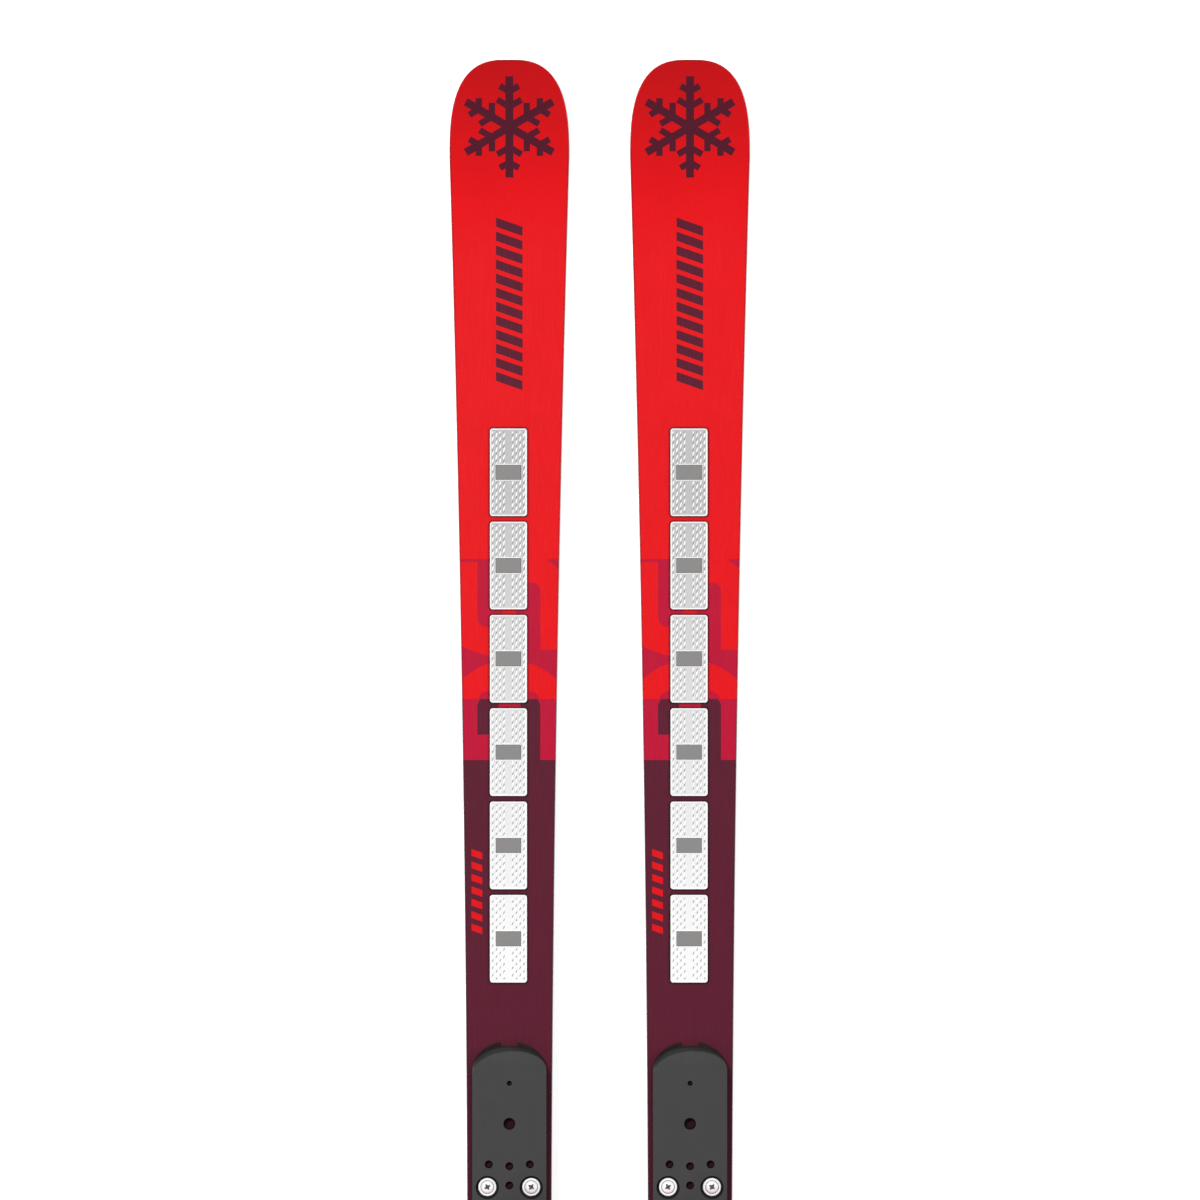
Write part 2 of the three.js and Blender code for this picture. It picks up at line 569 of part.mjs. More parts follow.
function skiParts() {
  const dampers = Object.fromEntries(Array.from({ length: DAMPER_COUNT }, (_, i) =>
    [`damper_${i + 1}`, [damper(i), 'damper']]));
  return {
    ...skiLayers(),
    ...dampers,
    ...plates(),
    toe_base: [toeBase(), 'binding_black'],
    toe_housing: [toeHousing(), 'binding_red'],
    toe_wing_left: [toeWing(-1), 'binding_black'],
    toe_wing_right: [toeWing(1), 'binding_black'],
    toe_sole_slider: [afdSlider(), 'zinc'],
    toe_setting_screw: [adjustingScrew(TOE_SCREW), 'zinc'],
    heel_track: [heelTrack(), 'binding_grey'],
    heel_carriage: [heelCarriage(), 'binding_black'],
    heel_housing: [heelHousing(), 'binding_red'],
    heel_lever: [heelLever(), 'binding_black'],
    heel_setting_screw: [adjustingScrew(HEEL_SCREW), 'zinc'],
    brake_block: [brakeBlock(), 'binding_grey'],
    brake_pedal: [brakePedal(), 'binding_black'],
    brake_arms: [brakeArms(), 'steel'],
  };
}

const pair = new THREE.Group();
const parts = skiParts();
for (const [side, sign] of [['left', -1], ['right', 1]]) {
  const ski = new THREE.Group();
  ski.position.x = (sign * SKI_SPACING) / 2;
  for (const [name, [geometry, material]] of Object.entries(parts)) {
    const mesh = new THREE.Mesh(geometry, MATERIALS[material]);
    mesh.name = `${side}_${name}`;
    ski.add(mesh);
  }
  pair.add(ski);
}

export default pair;
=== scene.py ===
"""A pair of giant slalom race skis with binding plates and step-in bindings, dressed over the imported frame.

Shapes are written in millimetres in one ski's own frame: x across from its centre line, s back from its tip
and z up from the floor. Every piece is made once and placed twice, on the left and on the right ski.
"""
import math

import bmesh
import bpy
from mathutils import Matrix, Vector


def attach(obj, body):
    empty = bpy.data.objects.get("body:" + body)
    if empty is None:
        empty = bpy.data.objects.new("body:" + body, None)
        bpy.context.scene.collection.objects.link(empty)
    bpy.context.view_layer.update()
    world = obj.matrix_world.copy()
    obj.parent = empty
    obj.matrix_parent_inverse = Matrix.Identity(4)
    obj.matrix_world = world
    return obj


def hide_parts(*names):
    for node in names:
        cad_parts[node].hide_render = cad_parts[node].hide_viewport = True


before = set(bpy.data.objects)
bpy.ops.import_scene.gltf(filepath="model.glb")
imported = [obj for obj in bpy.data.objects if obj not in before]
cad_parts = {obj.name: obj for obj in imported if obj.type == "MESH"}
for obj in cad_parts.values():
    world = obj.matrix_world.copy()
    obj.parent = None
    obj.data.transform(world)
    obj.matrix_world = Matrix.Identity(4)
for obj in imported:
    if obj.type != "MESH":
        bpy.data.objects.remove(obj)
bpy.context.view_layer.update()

MM = 0.001
SKI_LENGTH = 1930
SKIS = (("left", -70), ("right", 70))  # each ski's centre line
SIDES = (("left", -1), ("right", 1))

# ---- The ski's outline and profile ----
WAIST_WIDTH = 65
WAIST_AT = 1030
FRONT_SIDECUT_RADIUS = 32600
REAR_SIDECUT_RADIUS = 42000
TIP_LENGTH = 75
TIP_ROUNDNESS = 2.8
TAIL_LENGTH = 20
TAIL_ROUNDNESS = 3
FRONT_CONTACT = 150
REAR_CONTACT = 1880
CAMBER = 6
TIP_RISE = 42
TAIL_RISE = 8
RISE_POWER = 2.3
TIP_THICKNESS = 5.2
TAIL_THICKNESS = 7
DECK_HEIGHT = 22.5
DECK_START = 750
DECK_END = 1385
GLUE = 0.1
BASE_THICKNESS = 1.8
LAMINATE_THICKNESS = 0.7
TOPSHEET_THICKNESS = 0.7
EDGE_WIDTH = 2
SIDEWALL_WIDTH = 8
LAMINATE_INSET = 0.05
TOP_INSET = 0.45

# ---- Damper modules ----
DAMPER_COUNT = 6
DAMPER_FIRST = 285.5
DAMPER_PITCH = 72.3
DAMPER_LENGTH = 68
DAMPER_WIDTH = 28.8
DAMPER_SHIFT = -0.7  # how far they sit beside the ski's centre line
DAMPER_BED = 0.4
DAMPER_THICKNESS = 1.5
DAMPER_CORNER = 2.3
CHIP_LENGTH = 11.6
CHIP_WIDTH = 19.6
CHIP_GAP = 0.12
CHIP_SUNK = 0.15
POCKET_FLOOR = DAMPER_BED + 0.5

# ---- Binding plate and binding ----
PAD_THICKNESS = 2
PLATE_THICKNESS = 9
PLATE_WIDTH = 57.4
PLATE_START = 764
PLATE_SPLIT = 1090
PLATE_SPLIT_GAP = 4
PLATE_END = 1372
PLATE_NOSE = 19
PLATE_CHAMFER = 4.6
PLATE_CHAMFER_SKEW = 2.4
PLATE_CHAMFER_DEPTH = 3
CHAMFER_FADE = 0.4  # how much of the chamfer is lost at the plate's sides
PAD_MARGIN = 3.5
PAD_OVERHANG = 0.2
PLATE_TOP = DECK_HEIGHT + PAD_THICKNESS + PLATE_THICKNESS
SOLE_HEIGHT = 54
CLEARANCE = 0.3
WING_PIVOT = (19.5, 935, 3)  # x, s and radius of its pin
TOE_SCREW = (891.5, 60)  # s of its head and z
HEEL_SCREW = (1314.5, 75)
HEEL_PIVOT = (1290, 58, 4)  # s, z and radius
LEVER_PIVOT = (1272, 90, 3)
BRAKE_PIVOT = (1195, 41, 2.75)
PEDAL_PIVOT = (1158, 49.5, 2)
BRAKE_HALF_WIDTH = 38
SCREW_BORE = 5.6


# ---------------------------------------------------------------- meshes

def place(x, s, z):
    """A point of one ski, in metres."""
    return Vector((x, SKI_LENGTH / 2 - s, z)) * MM


def mesh_of(points, faces):
    """A mesh of points in metres with its faces turned outwards."""
    mesh = bpy.data.meshes.new("piece")
    mesh.from_pydata(points, [], faces)
    made = bmesh.new()
    made.from_mesh(mesh)
    bmesh.ops.remove_doubles(made, verts=made.verts, dist=1e-7)
    bmesh.ops.recalc_face_normals(made, faces=made.faces)
    made.to_mesh(mesh)
    made.free()
    return mesh


def loft(rings):
    """A closed mesh through rings of equally many points, with flat ends."""
    count = len(rings[0])
    faces = [list(range(count)), [(len(rings) - 1) * count + i for i in range(count)]]
    for k in range(len(rings) - 1):
        for i in range(count):
            a, b = k * count + i, k * count + (i + 1) % count
            faces.append([a, b, b + count, a + count])
    return mesh_of([p for ring in rings for p in ring], faces)


def rounded(corners, steps=8):
    """Points of a closed outline whose corners are (a, b, radius)."""
    points = []
    for i, corner in enumerate(corners):
        at = Vector(corner[:2])
        radius = corner[2] if len(corner) > 2 else 0
        if not radius:
            points.append(at)
            continue
        back = (Vector(corners[i - 1][:2]) - at).normalized()
        ahead = (Vector(corners[(i + 1) % len(corners)][:2]) - at).normalized()
        half = math.acos(max(-1.0, min(1.0, back.dot(ahead)))) / 2
        middle = at + (back + ahead).normalized() * radius / math.sin(half)
        start = at + back * radius / math.tan(half) - middle
        turn = math.copysign(math.pi - 2 * half, start.x * (at - middle).y - start.y * (at - middle).x)
        for k in range(steps + 1):
            c, n = math.cos(turn * k / steps), math.sin(turn * k / steps)
            points.append(middle + Vector((start.x * c - start.y * n, start.x * n + start.y * c)))
    return points


def flipped(points, sign):
    """Points with their x turned over where sign is -1."""
    return [(sign * p[0], *p[1:]) for p in points]


def mirrored(right):
    """A symmetrical outline from the points of its right side, starting with the first one on the left."""
    left = flipped(right, -1)
    return [left[0], *right, *reversed(left[1:])]


def oblong(half, start, end, radius):
    """A plan rectangle on the centre line, with rounded corners."""
    return rounded(mirrored([(half, start, radius), (half, end, radius)]))


def both_sides(inner, outer):
    """The two stretches of x between two distances from the centre line."""
    return (-outer, -inner), (inner, outer)


def circle(a, b, radius, sides=40):
    turns = [2 * math.pi * k / sides for k in range(sides)]
    return [Vector((a + radius * math.cos(t), b + radius * math.sin(t))) for t in turns]


def slab(outline, bottom, top):
    """A plan outline in (x, s), from bottom to top."""
    return loft([[place(p[0], p[1], z) for p in outline] for z in (bottom, top)])


def across(profile, left, right):
    """A side profile in (s, z), from left to right."""
    return loft([[place(x, p[0], p[1]) for p in profile] for x in (left, right)])


def along(section, start, end):
    """A cross-section in (x, z), from one distance behind the tip to another."""
    return loft([[place(p[0], s, p[1]) for p in section] for s in (start, end)])


def box(x0, x1, s0, s1, z0, z1):
    return slab([(x0, s0), (x1, s0), (x1, s1), (x0, s1)], z0, z1)


def rod(axis, a, b, radius, low, high, sides=40):
    """A round bar: along x at (s, z), along s at (x, z) or along z at (x, s)."""
    make = {"x": across, "s": along, "z": slab}[axis]
    return make(circle(a, b, radius, sides), low, high)


def lathe(profile, sides=48):
    """A solid turned about z from a profile of (radius, z) that starts and ends on the axis."""
    points, faces = [], []
    rings = []
    for radius, z in profile:
        if radius < 1e-6:
            rings.append([len(points)])
            points.append(Vector((0, 0, z)) * MM)
            continue
        rings.append(list(range(len(points), len(points) + sides)))
        points += [Vector((p.x, p.y, z)) * MM for p in circle(0, 0, radius, sides)]
    for low, high in zip(rings, rings[1:]):
        for i in range(sides):
            j = (i + 1) % sides
            quad = [low[i % len(low)], low[j % len(low)], high[j % len(high)], high[i % len(high)]]
            faces.append(list(dict.fromkeys(quad)))
    return mesh_of(points, faces)


def bent_rod(points, radius, sides=16, bend=5, steps=6):
    """A round wire through points of (x, s, z), with a small bend at each corner."""
    corners = [place(*p) for p in points]
    path = [corners[0]]
    for a, b, c in zip(corners, corners[1:], corners[2:]):
        reach = min(bend * MM, (b - a).length / 2.1, (c - b).length / 2.1)
        start, end = b + (a - b).normalized() * reach, b + (c - b).normalized() * reach
        for k in range(steps + 1):
            t = k / steps
            path.append(start * (1 - t) ** 2 + b * 2 * t * (1 - t) + end * t * t)
    path.append(corners[-1])
    rings, side = [], None
    for i, p in enumerate(path):
        ahead = (path[min(i + 1, len(path) - 1)] - path[max(i - 1, 0)]).normalized()
        side = ahead.orthogonal() if side is None else side - ahead * side.dot(ahead)
        side.normalize()
        over = ahead.cross(side)
        ring = circle(0, 0, radius * MM, sides)
        rings.append([p + side * q.x + over * q.y for q in ring])
    return loft(rings)


def joined(*meshes):
    """One mesh of several separate bodies."""
    made = bmesh.new()
    for mesh in meshes:
        made.from_mesh(mesh)
    result = bpy.data.meshes.new("piece")
    made.to_mesh(result)
    made.free()
    return result


def linked(name, data):
    """A new object in the scene."""
    item = bpy.data.objects.new(name, data)
    bpy.context.scene.collection.objects.link(item)
    return item


def combined(first, others, operation):
    """The first mesh cut by, joined with or limited to each of the others."""
    body = linked("body", first)
    tools = [linked("tool", mesh) for mesh in others]
    for tool in tools:
        modifier = body.modifiers.new("combine", "BOOLEAN")
        modifier.operation = operation
        modifier.solver = "EXACT"
        modifier.object = tool
    bpy.context.view_layer.update()
    result = bpy.data.meshes.new_from_object(body.evaluated_get(bpy.context.evaluated_depsgraph_get()))
    for scratch in [body, *tools]:
        bpy.data.objects.remove(scratch)
    return result


def cut(first, *others):
    return combined(first, others, "DIFFERENCE")


def fused(first, *others):
    return combined(first, others, "UNION")


def common(first, *others):
    return combined(first, others, "INTERSECT")


def moved(mesh, x=0, s=0, z=0, turn=0, tilt=0):
    """A copy of a mesh made about the origin, tilted about x and turned about z, then put at (x, s, z)."""
    copy = mesh.copy()
    turned = Matrix.Rotation(math.radians(turn), 4, "Z") @ Matrix.Rotation(math.radians(tilt), 4, "X")
    copy.transform(Matrix.Translation(place(x, s, z)) @ turned)
    return copy


def piece(name, mesh, finish, body="ski", cad=(), bevel=0.0, segments=3, angle=35):
    """Places the mesh on both skis, riding on that body, standing for those CAD nodes."""
    material, slot = finish
    mesh.name = name
    mesh.materials.clear()
    mesh.materials.append(material)
    mesh.shade_smooth()
    mesh.set_sharp_from_angle(angle=math.radians(angle))
    for side, x in SKIS:
        item = linked(f"{side}_{name}", mesh)
        item.location.x = x * MM
        if bevel:
            rounding = item.modifiers.new("bevel", "BEVEL")
            rounding.width = bevel * MM
            rounding.segments = segments
            rounding.limit_method = "ANGLE"
            rounding.angle_limit = math.radians(angle)
            rounding.harden_normals = True
            rounding.miter_outer = "MITER_ARC"
        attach(item, f"{side}_{body}")
        if cad:
            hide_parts(*[f"{side}_{node}" for node in cad])


# ---------------------------------------------------------------- materials

class Wire:
    """A number in a material's nodes, so that patterns can be written as arithmetic."""

    def __init__(self, graph, socket):
        self.graph, self.socket = graph, socket

    def __add__(self, other):
        return self.graph.math("ADD", self, other)

    def __sub__(self, other):
        return self.graph.math("SUBTRACT", self, other)

    def __rsub__(self, other):
        return self.graph.math("SUBTRACT", other, self)

    def __mul__(self, other):
        return self.graph.math("MULTIPLY", self, other)

    def __abs__(self):
        return self.graph.math("ABSOLUTE", self)

    __radd__, __rmul__ = __add__, __mul__


class Surface:
    """A material built on one Principled shader."""

    def __init__(self, name, colour, roughness, **sockets):
        self.material = bpy.data.materials.new(name)
        self.material.use_nodes = True
        self.nodes = self.material.node_tree.nodes
        self.links = self.material.node_tree.links
        self.shader = self.nodes["Principled BSDF"]
        self.shader.inputs["Base Color"].default_value = (*colour, 1)
        self.shader.inputs["Roughness"].default_value = roughness
        for socket, value in sockets.items():
            self.shader.inputs[socket.replace("_", " ").title().replace("Ior", "IOR")].default_value = value
        self.place = self.node("TexCoord").outputs["Object"]

    def feed(self, socket, value):
        if isinstance(value, Wire):
            self.links.new(value.socket, socket)
        elif hasattr(value, "is_output"):
            self.links.new(value, socket)
        else:
            socket.default_value = value

    def node(self, kind, **inputs):
        """A new node with some inputs fed; an underscore stands for a space in an input's name."""
        node = self.nodes.new("ShaderNode" + kind)
        for name, value in inputs.items():
            self.feed(node.inputs[name.replace("_", " ")], value)
        return node

    def math(self, operation, a, b=0.0, c=0.0, clamp=False):
        node = self.node("Math")
        node.operation = operation
        node.use_clamp = clamp
        for socket, value in zip(node.inputs, (a, b, c)):
            self.feed(socket, value)
        return Wire(self, node.outputs[0])

    def least(self, first, *others):
        for other in others:
            first = self.math("MINIMUM", first, other)
        return first

    def most(self, first, *others):
        for other in others:
            first = self.math("MAXIMUM", first, other)
        return first

    def axes(self):
        """x from the ski's centre line, s back from its tip and z up from the floor, in millimetres."""
        split = self.node("SeparateXYZ", Vector=self.place)
        x, y, z = [Wire(self, output) * (1 / MM) for output in split.outputs]
        return x, SKI_LENGTH / 2 - y, z

    def stretched(self, x=1.0, y=1.0, z=1.0, turn=0.0):
        """Object coordinates scaled along each axis."""
        return self.node("Mapping", Vector=self.place, Scale=(x, y, z), Rotation=(0, 0, turn)).outputs[0]

    def noise(self, size, detail=3.0, roughness=0.55, where=None):
        """Noise from 0 to 1 whose features are about size millimetres across."""
        node = self.node("TexNoise", Vector=where or self.place, Scale=1 / (size * MM), Detail=detail,
                         Roughness=roughness)
        return Wire(self, node.outputs["Fac"])

    def attribute(self, name):
        """A number stored at the mesh's points."""
        node = self.node("Attribute")
        node.attribute_name = name
        return Wire(self, node.outputs["Fac"])

    def remap(self, value, low, high, to_low=0.0, to_high=1.0):
        node = self.node("MapRange", Value=value, From_Min=low, From_Max=high, To_Min=to_low, To_Max=to_high)
        return Wire(self, node.outputs["Result"])

    def mix(self, share, first, second):
        """first where share is 0 and second where it is 1; both are colours."""
        node = self.node("Mix")
        node.data_type = "RGBA"
        self.feed(node.inputs["Factor"], share)
        for socket, value in ((node.inputs[6], first), (node.inputs[7], second)):
            self.feed(socket, value if hasattr(value, "is_output") else (*value, 1))
        return node.outputs[2]

    def paint(self, colour):
        self.feed(self.shader.inputs["Base Color"], colour)
        return self

    def rough(self, value):
        self.feed(self.shader.inputs["Roughness"], value)
        return self

    def bump(self, height, depth):
        """Raises the surface by depth millimetres where height is 1."""
        node = self.node("Bump", Strength=1.0, Distance=depth * MM, Height=height)
        self.feed(self.shader.inputs["Normal"], node.outputs[0])
        return self


BLACKEST = (0.0, 0.0, 0.0)
PLATE_GREY = (0.049, 0.049, 0.0495)
RED = (0.72, 0.002, 0.0055)
MAGENTA = (0.460, 0.002, 0.031)
MAROON = (0.095, 0.0075, 0.0235)
SHELL_RED = (0.62, 0.010, 0.016)
# Maroon darkened as painted shade, for the plugs that stand in for the shaded floors of the plate's holes.
SHADED_HOLE_MAROON = (0.028, 0.006, 0.011)


def shade(colour, factor):
    return tuple(min(1.0, c * factor) for c in colour)


def plastic(name, colour, roughness, grain=0.35, depth=0.012, **sockets):
    """Moulded plastic: fine grain, faint flow marks and handling scuffs."""
    made = Surface(name, colour, roughness, **sockets)
    made.paint(made.mix(made.remap(made.noise(14, 4), 0.3, 0.7), shade(colour, 0.9), shade(colour, 1.12)))
    scuffs = made.noise(5, 6, 0.7, made.stretched(1.0, 0.3, 1.0, 0.5))
    made.rough(made.remap(scuffs, 0.35, 0.7, roughness - 0.06, roughness + 0.1))
    return made.bump(made.noise(grain, 2), depth)


def plate_plastic():
    """Grained plastic with faint flow marks, with painted shade on its chamfer and darker painted shade in
    its holes and seats.
    """
    made = plastic("plate_plastic", PLATE_GREY, 0.6, 0.6, 0.03, specular_ior_level=0.15)
    depth = PLATE_TOP - made.axes()[2]
    flow = made.remap(made.noise(14, 4), 0.3, 0.7)
    top_tone = made.mix(flow, shade(PLATE_GREY, 0.97), shade(PLATE_GREY, 1.03))
    # Painted shade: darker on the chamfer below the top face, darker still deep in the holes and seats.
    deeper = made.remap(depth, PLATE_CHAMFER_DEPTH - 1.2, PLATE_CHAMFER_DEPTH - 0.2)
    painted_wall_shade = made.mix(deeper, shade(PLATE_GREY, 0.42), shade(PLATE_GREY, 0.2))
    return made.paint(made.mix(made.remap(depth, 0.15, 0.6), top_tone, painted_wall_shade))


def metal(name, colour, roughness, brushed=(1.0, 0.05, 1.0)):
    """Metal with brush marks drawn out along one axis and slight tarnish."""
    made = Surface(name, colour, roughness, metallic=1.0)
    made.paint(made.mix(made.remap(made.noise(18, 5), 0.35, 0.75), colour, shade(colour, 0.8)))
    lines = made.noise(0.35, 4, 0.6, made.stretched(*brushed))
    made.rough(made.remap(lines, 0.3, 0.7, roughness - 0.08, roughness + 0.12))
    return made.bump(lines, 0.006)


class Art:
    """Flat shapes in a surface's own plane, as distances in millimetres that are below zero inside."""

    def __init__(self, surface, u, s, colour):
        self.surface, self.u, self.s, self.colour = surface, u, s, colour

    def box(self, u0, u1, s0, s1, radius=0.0, s=None):
        g = self.surface
        a = abs(self.u - (u0 + u1) / 2) - ((u1 - u0) / 2 - radius)
        b = abs((self.s if s is None else s) - (s0 + s1) / 2) - ((s1 - s0) / 2 - radius)
        if not radius:
            return g.most(a, b)
        outside = g.math("SQRT", g.math("POWER", g.most(a, 0.0), 2.0) + g.math("POWER", g.most(b, 0.0), 2.0))
        return outside + g.least(g.most(a, b), 0.0) - radius

    def disc(self, u, s, radius):
        g = self.surface
        return g.math("SQRT", g.math("POWER", self.u - u, 2.0) + g.math("POWER", self.s - s, 2.0)) - radius

    def fill(self, distance, colour, soft=0.16):
        """Paints the inside of a shape."""
        share = self.surface.math("MULTIPLY_ADD", distance, -1 / soft, 0.5, clamp=True)
        self.colour = self.surface.mix(share, self.colour, colour)

    def bars(self, u0, u1, s0, s1, count, width, slant, colour):
        """A row of slanted bars between two distances from the tip."""
        pitch = (s1 - s0) / count
        slid = self.s - self.u * slant
        stripe = pitch / 2 - self.surface.math("PINGPONG", slid - s0, pitch / 2) - width / 2
        self.fill(self.surface.most(stripe, self.box(u0, u1, s0, s1, s=slid)), colour)

    def snowflake(self, u, s, radius, thick, colour):
        """Six straight arms, each with two pairs of short branches."""
        g = self.surface
        du, ds = self.u - u, self.s - s
        angle = g.math("ARCTAN2", du, ds) + math.pi
        sector = math.pi / 3
        folded = g.math("PINGPONG", angle, sector / 2)
        reach = g.math("SQRT", du * du + ds * ds)
        a, b = reach * g.math("COSINE", folded), reach * g.math("SINE", folded)
        shape = g.most(b - thick / 2, a - radius)
        for at, length in ((0.40, 0.28), (0.70, 0.22)):
            da = a - radius * at
            off = abs(da * -math.sin(sector) + b * math.cos(sector)) - thick * 0.4
            way = da * math.cos(sector) + b * math.sin(sector)
            shape = g.least(shape, g.most(off, way - radius * length, way * -1))
        self.fill(shape, colour)


def block_print(made, u, s):
    """The sheet's art: rounded blocks that interlock where red turns to magenta and magenta to maroon."""
    wide = 60  # past the ski's sides
    left, right = -24.8, 24  # sides of the upright blocks
    band, middle, end = 386.7, 495.2, 542.5  # where magenta starts, red ends and maroon runs right across
    # The base red darkens towards the tip: painted shade on the upturned tip.
    art = Art(made, u, s, made.mix(made.remap(s, 0, 110), shade(RED, 0.7), RED))
    waist = made.most(art.box(-wide, wide, 442, middle), art.disc(0, 384.3, 79) * -1)
    art.fill(made.most(waist, u + 15), MAGENTA)
    art.fill(art.box(15, wide, 457, middle), MAGENTA)
    art.fill(art.box(-wide, -15, band, band + 2.4), MAGENTA)
    notch = made.most(art.box(30, wide, band - 10, band + 14), art.disc(24, band + 17, 16.4) * -1)
    art.fill(made.most(notch, band - s), MAGENTA)
    art.fill(made.most(art.box(left, 10, band - 20, 439.5, 8), band - s, u + 5), MAGENTA)
    art.fill(made.most(art.box(0, right, 405, middle, 6.5), 5 - u), MAGENTA)
    art.fill(made.most(art.disc(0, 517.2, 52), s - middle), RED)
    shoulders = made.most(15 - abs(u), s - middle)
    art.fill(made.most(art.box(left, right, 489, 600, 9), shoulders), MAGENTA)
    art.fill(art.box(-wide, wide, middle, end + 4), MAGENTA)
    legs = made.most(art.box(left, right, 492.5, 640, 9), middle - s)
    gaps = made.least(art.box(-8.5, 8.5, middle, 503), art.box(-wide, -5, 522.8, 600))
    art.fill(made.most(legs, gaps * -1), MAROON)
    art.fill(art.box(-wide, wide, end, SKI_LENGTH + wide), MAROON)
    art.bars(-29.3, -21, 619.5, 687, 7, 5.2, 0.35, shade(RED, 0.95))
    art.bars(-10.4, 10.2, 123.7, 254.1, 12, 7.1, 0.35, shade(MAROON, 0.95))
    art.bars(-20, 20, 1700, 1800, 6, 8, 0.35, RED)
    art.snowflake(0, 52, 39, 6.2, shade(MAROON, 0.82))
    return art


def damper_painted_shade(art):
    """How much painted shade darkens the sheet close around the damper modules."""
    gap = (DAMPER_PITCH - DAMPER_LENGTH) / 2
    first, last = DAMPER_FIRST - gap, DAMPER_FIRST + DAMPER_COUNT * DAMPER_PITCH - gap
    low, high = DAMPER_SHIFT - DAMPER_WIDTH / 2, DAMPER_SHIFT + DAMPER_WIDTH / 2
    along_row = art.surface.math("PINGPONG", art.s - first, DAMPER_PITCH / 2)
    joint = art.box(low, high, gap, DAMPER_PITCH, DAMPER_CORNER, s=along_row)
    steep = 20  # so that the painted shade stops at once past the row's ends
    row = art.box(-40, 40, first, last) * steep
    return art.surface.remap(art.surface.most(joint, row), 0.3, 2.0, 0.75, 0.0)


def plate_painted_shadow(art):
    """How much painted shadow darkens the sheet in the narrow strip on the plate's left."""
    made = art.surface
    plate = art.box(-PLATE_WIDTH / 2, PLATE_WIDTH / 2, PLATE_START, PLATE_END, PLATE_NOSE)
    near = made.remap(plate, 0.5, 7, 0.42, 0.0)
    return near * made.remap(art.s, PLATE_START + 6, PLATE_START + 26) * made.remap(art.u, -1, 1, 1.0, 0.0)


def edge_painted_shade(art):
    """How much painted shade darkens the print along the topsheet's own edge."""
    made, back = art.surface, art.s - WAIST_AT
    sidecut = made.remap(back, -0.1, 0.1, 0.5 / FRONT_SIDECUT_RADIUS, 0.5 / REAR_SIDECUT_RADIUS)
    margin = back * back * sidecut + (WAIST_WIDTH / 2 - TOP_INSET) - abs(art.u)
    return made.remap(margin, 0.1, 1.3, 0.55, 0.0)


def topsheet_print():
    """Gloss lacquer over a printed sheet, a little dirty and finely scratched, with painted shade around the
    dampers, beside the plate and along its edge.
    """
    made = Surface("topsheet_print", RED, 0.3, specular_ior_level=0.2, coat_weight=0.12, coat_roughness=0.14)
    art = block_print(made, *made.axes()[:2])
    fleck = made.remap(made.noise(30, 4), 0.4, 0.7, 0.0, 0.05)
    # Random dirt flecks, together with painted shade around the dampers, beside the plate and along the edge.
    dirt_and_painted_shade = made.most(fleck, damper_painted_shade(art), plate_painted_shadow(art), edge_painted_shade(art))
    made.paint(made.mix(dirt_and_painted_shade, art.colour, BLACKEST))
    scratches = made.noise(0.6, 5, 0.7, made.stretched(1.0, 0.02, 1.0, 0.12))
    made.rough(made.remap(scratches, 0.45, 0.75, 0.27, 0.4))
    return made.bump(made.noise(1.6, 2), 0.004)


def sidewall_lacquer():
    """Lacquered phenolic: red beside the red print and near black behind it, with fine milling marks."""
    made = Surface("sidewall_lacquer", RED, 0.4, specular_ior_level=0.3)
    _, s, _ = made.axes()
    paint = made.mix(made.remap(s, 494, 496), shade(RED, 0.72), (0.040, 0.008, 0.014))
    made.paint(made.mix(made.remap(made.noise(9, 5), 0.4, 0.8, 0.0, 0.15), paint, BLACKEST))
    marks = made.noise(0.7, 3, 0.5, made.stretched(1.0, 0.02, 1.0))
    made.rough(made.remap(marks, 0.3, 0.7, 0.34, 0.5))
    return made.bump(marks, 0.015)


def base_graphite():
    """Black sintered base with fine lines ground along it."""
    made = Surface("base_graphite", (0.012, 0.012, 0.013), 0.42, specular_ior_level=0.4)
    lines = made.noise(0.9, 2, 0.5, made.stretched(1.0, 0.01, 1.0))
    made.paint(made.mix(made.remap(made.noise(60, 4), 0.3, 0.7), (0.009, 0.009, 0.01), (0.02, 0.02, 0.021)))
    made.rough(made.remap(lines, 0.3, 0.7, 0.32, 0.52))
    return made.bump(lines, 0.03)


def wood_core_strips():
    """Long strips of light and darker wood glued side by side."""
    made = Surface("wood_core_strips", (0.55, 0.36, 0.19), 0.6)
    strip = made.math("FRACT", made.axes()[0] * (1 / 16) + 0.5)
    grain = made.noise(1.2, 5, 0.6, made.stretched(1.0, 0.03, 1.0))
    wood = made.mix(made.remap(strip, 0.48, 0.52), (0.58, 0.40, 0.22), (0.40, 0.24, 0.12))
    made.paint(made.mix(made.remap(grain, 0.35, 0.7, 0.0, 0.5), wood, (0.25, 0.14, 0.07)))
    return made.bump(grain, 0.05)


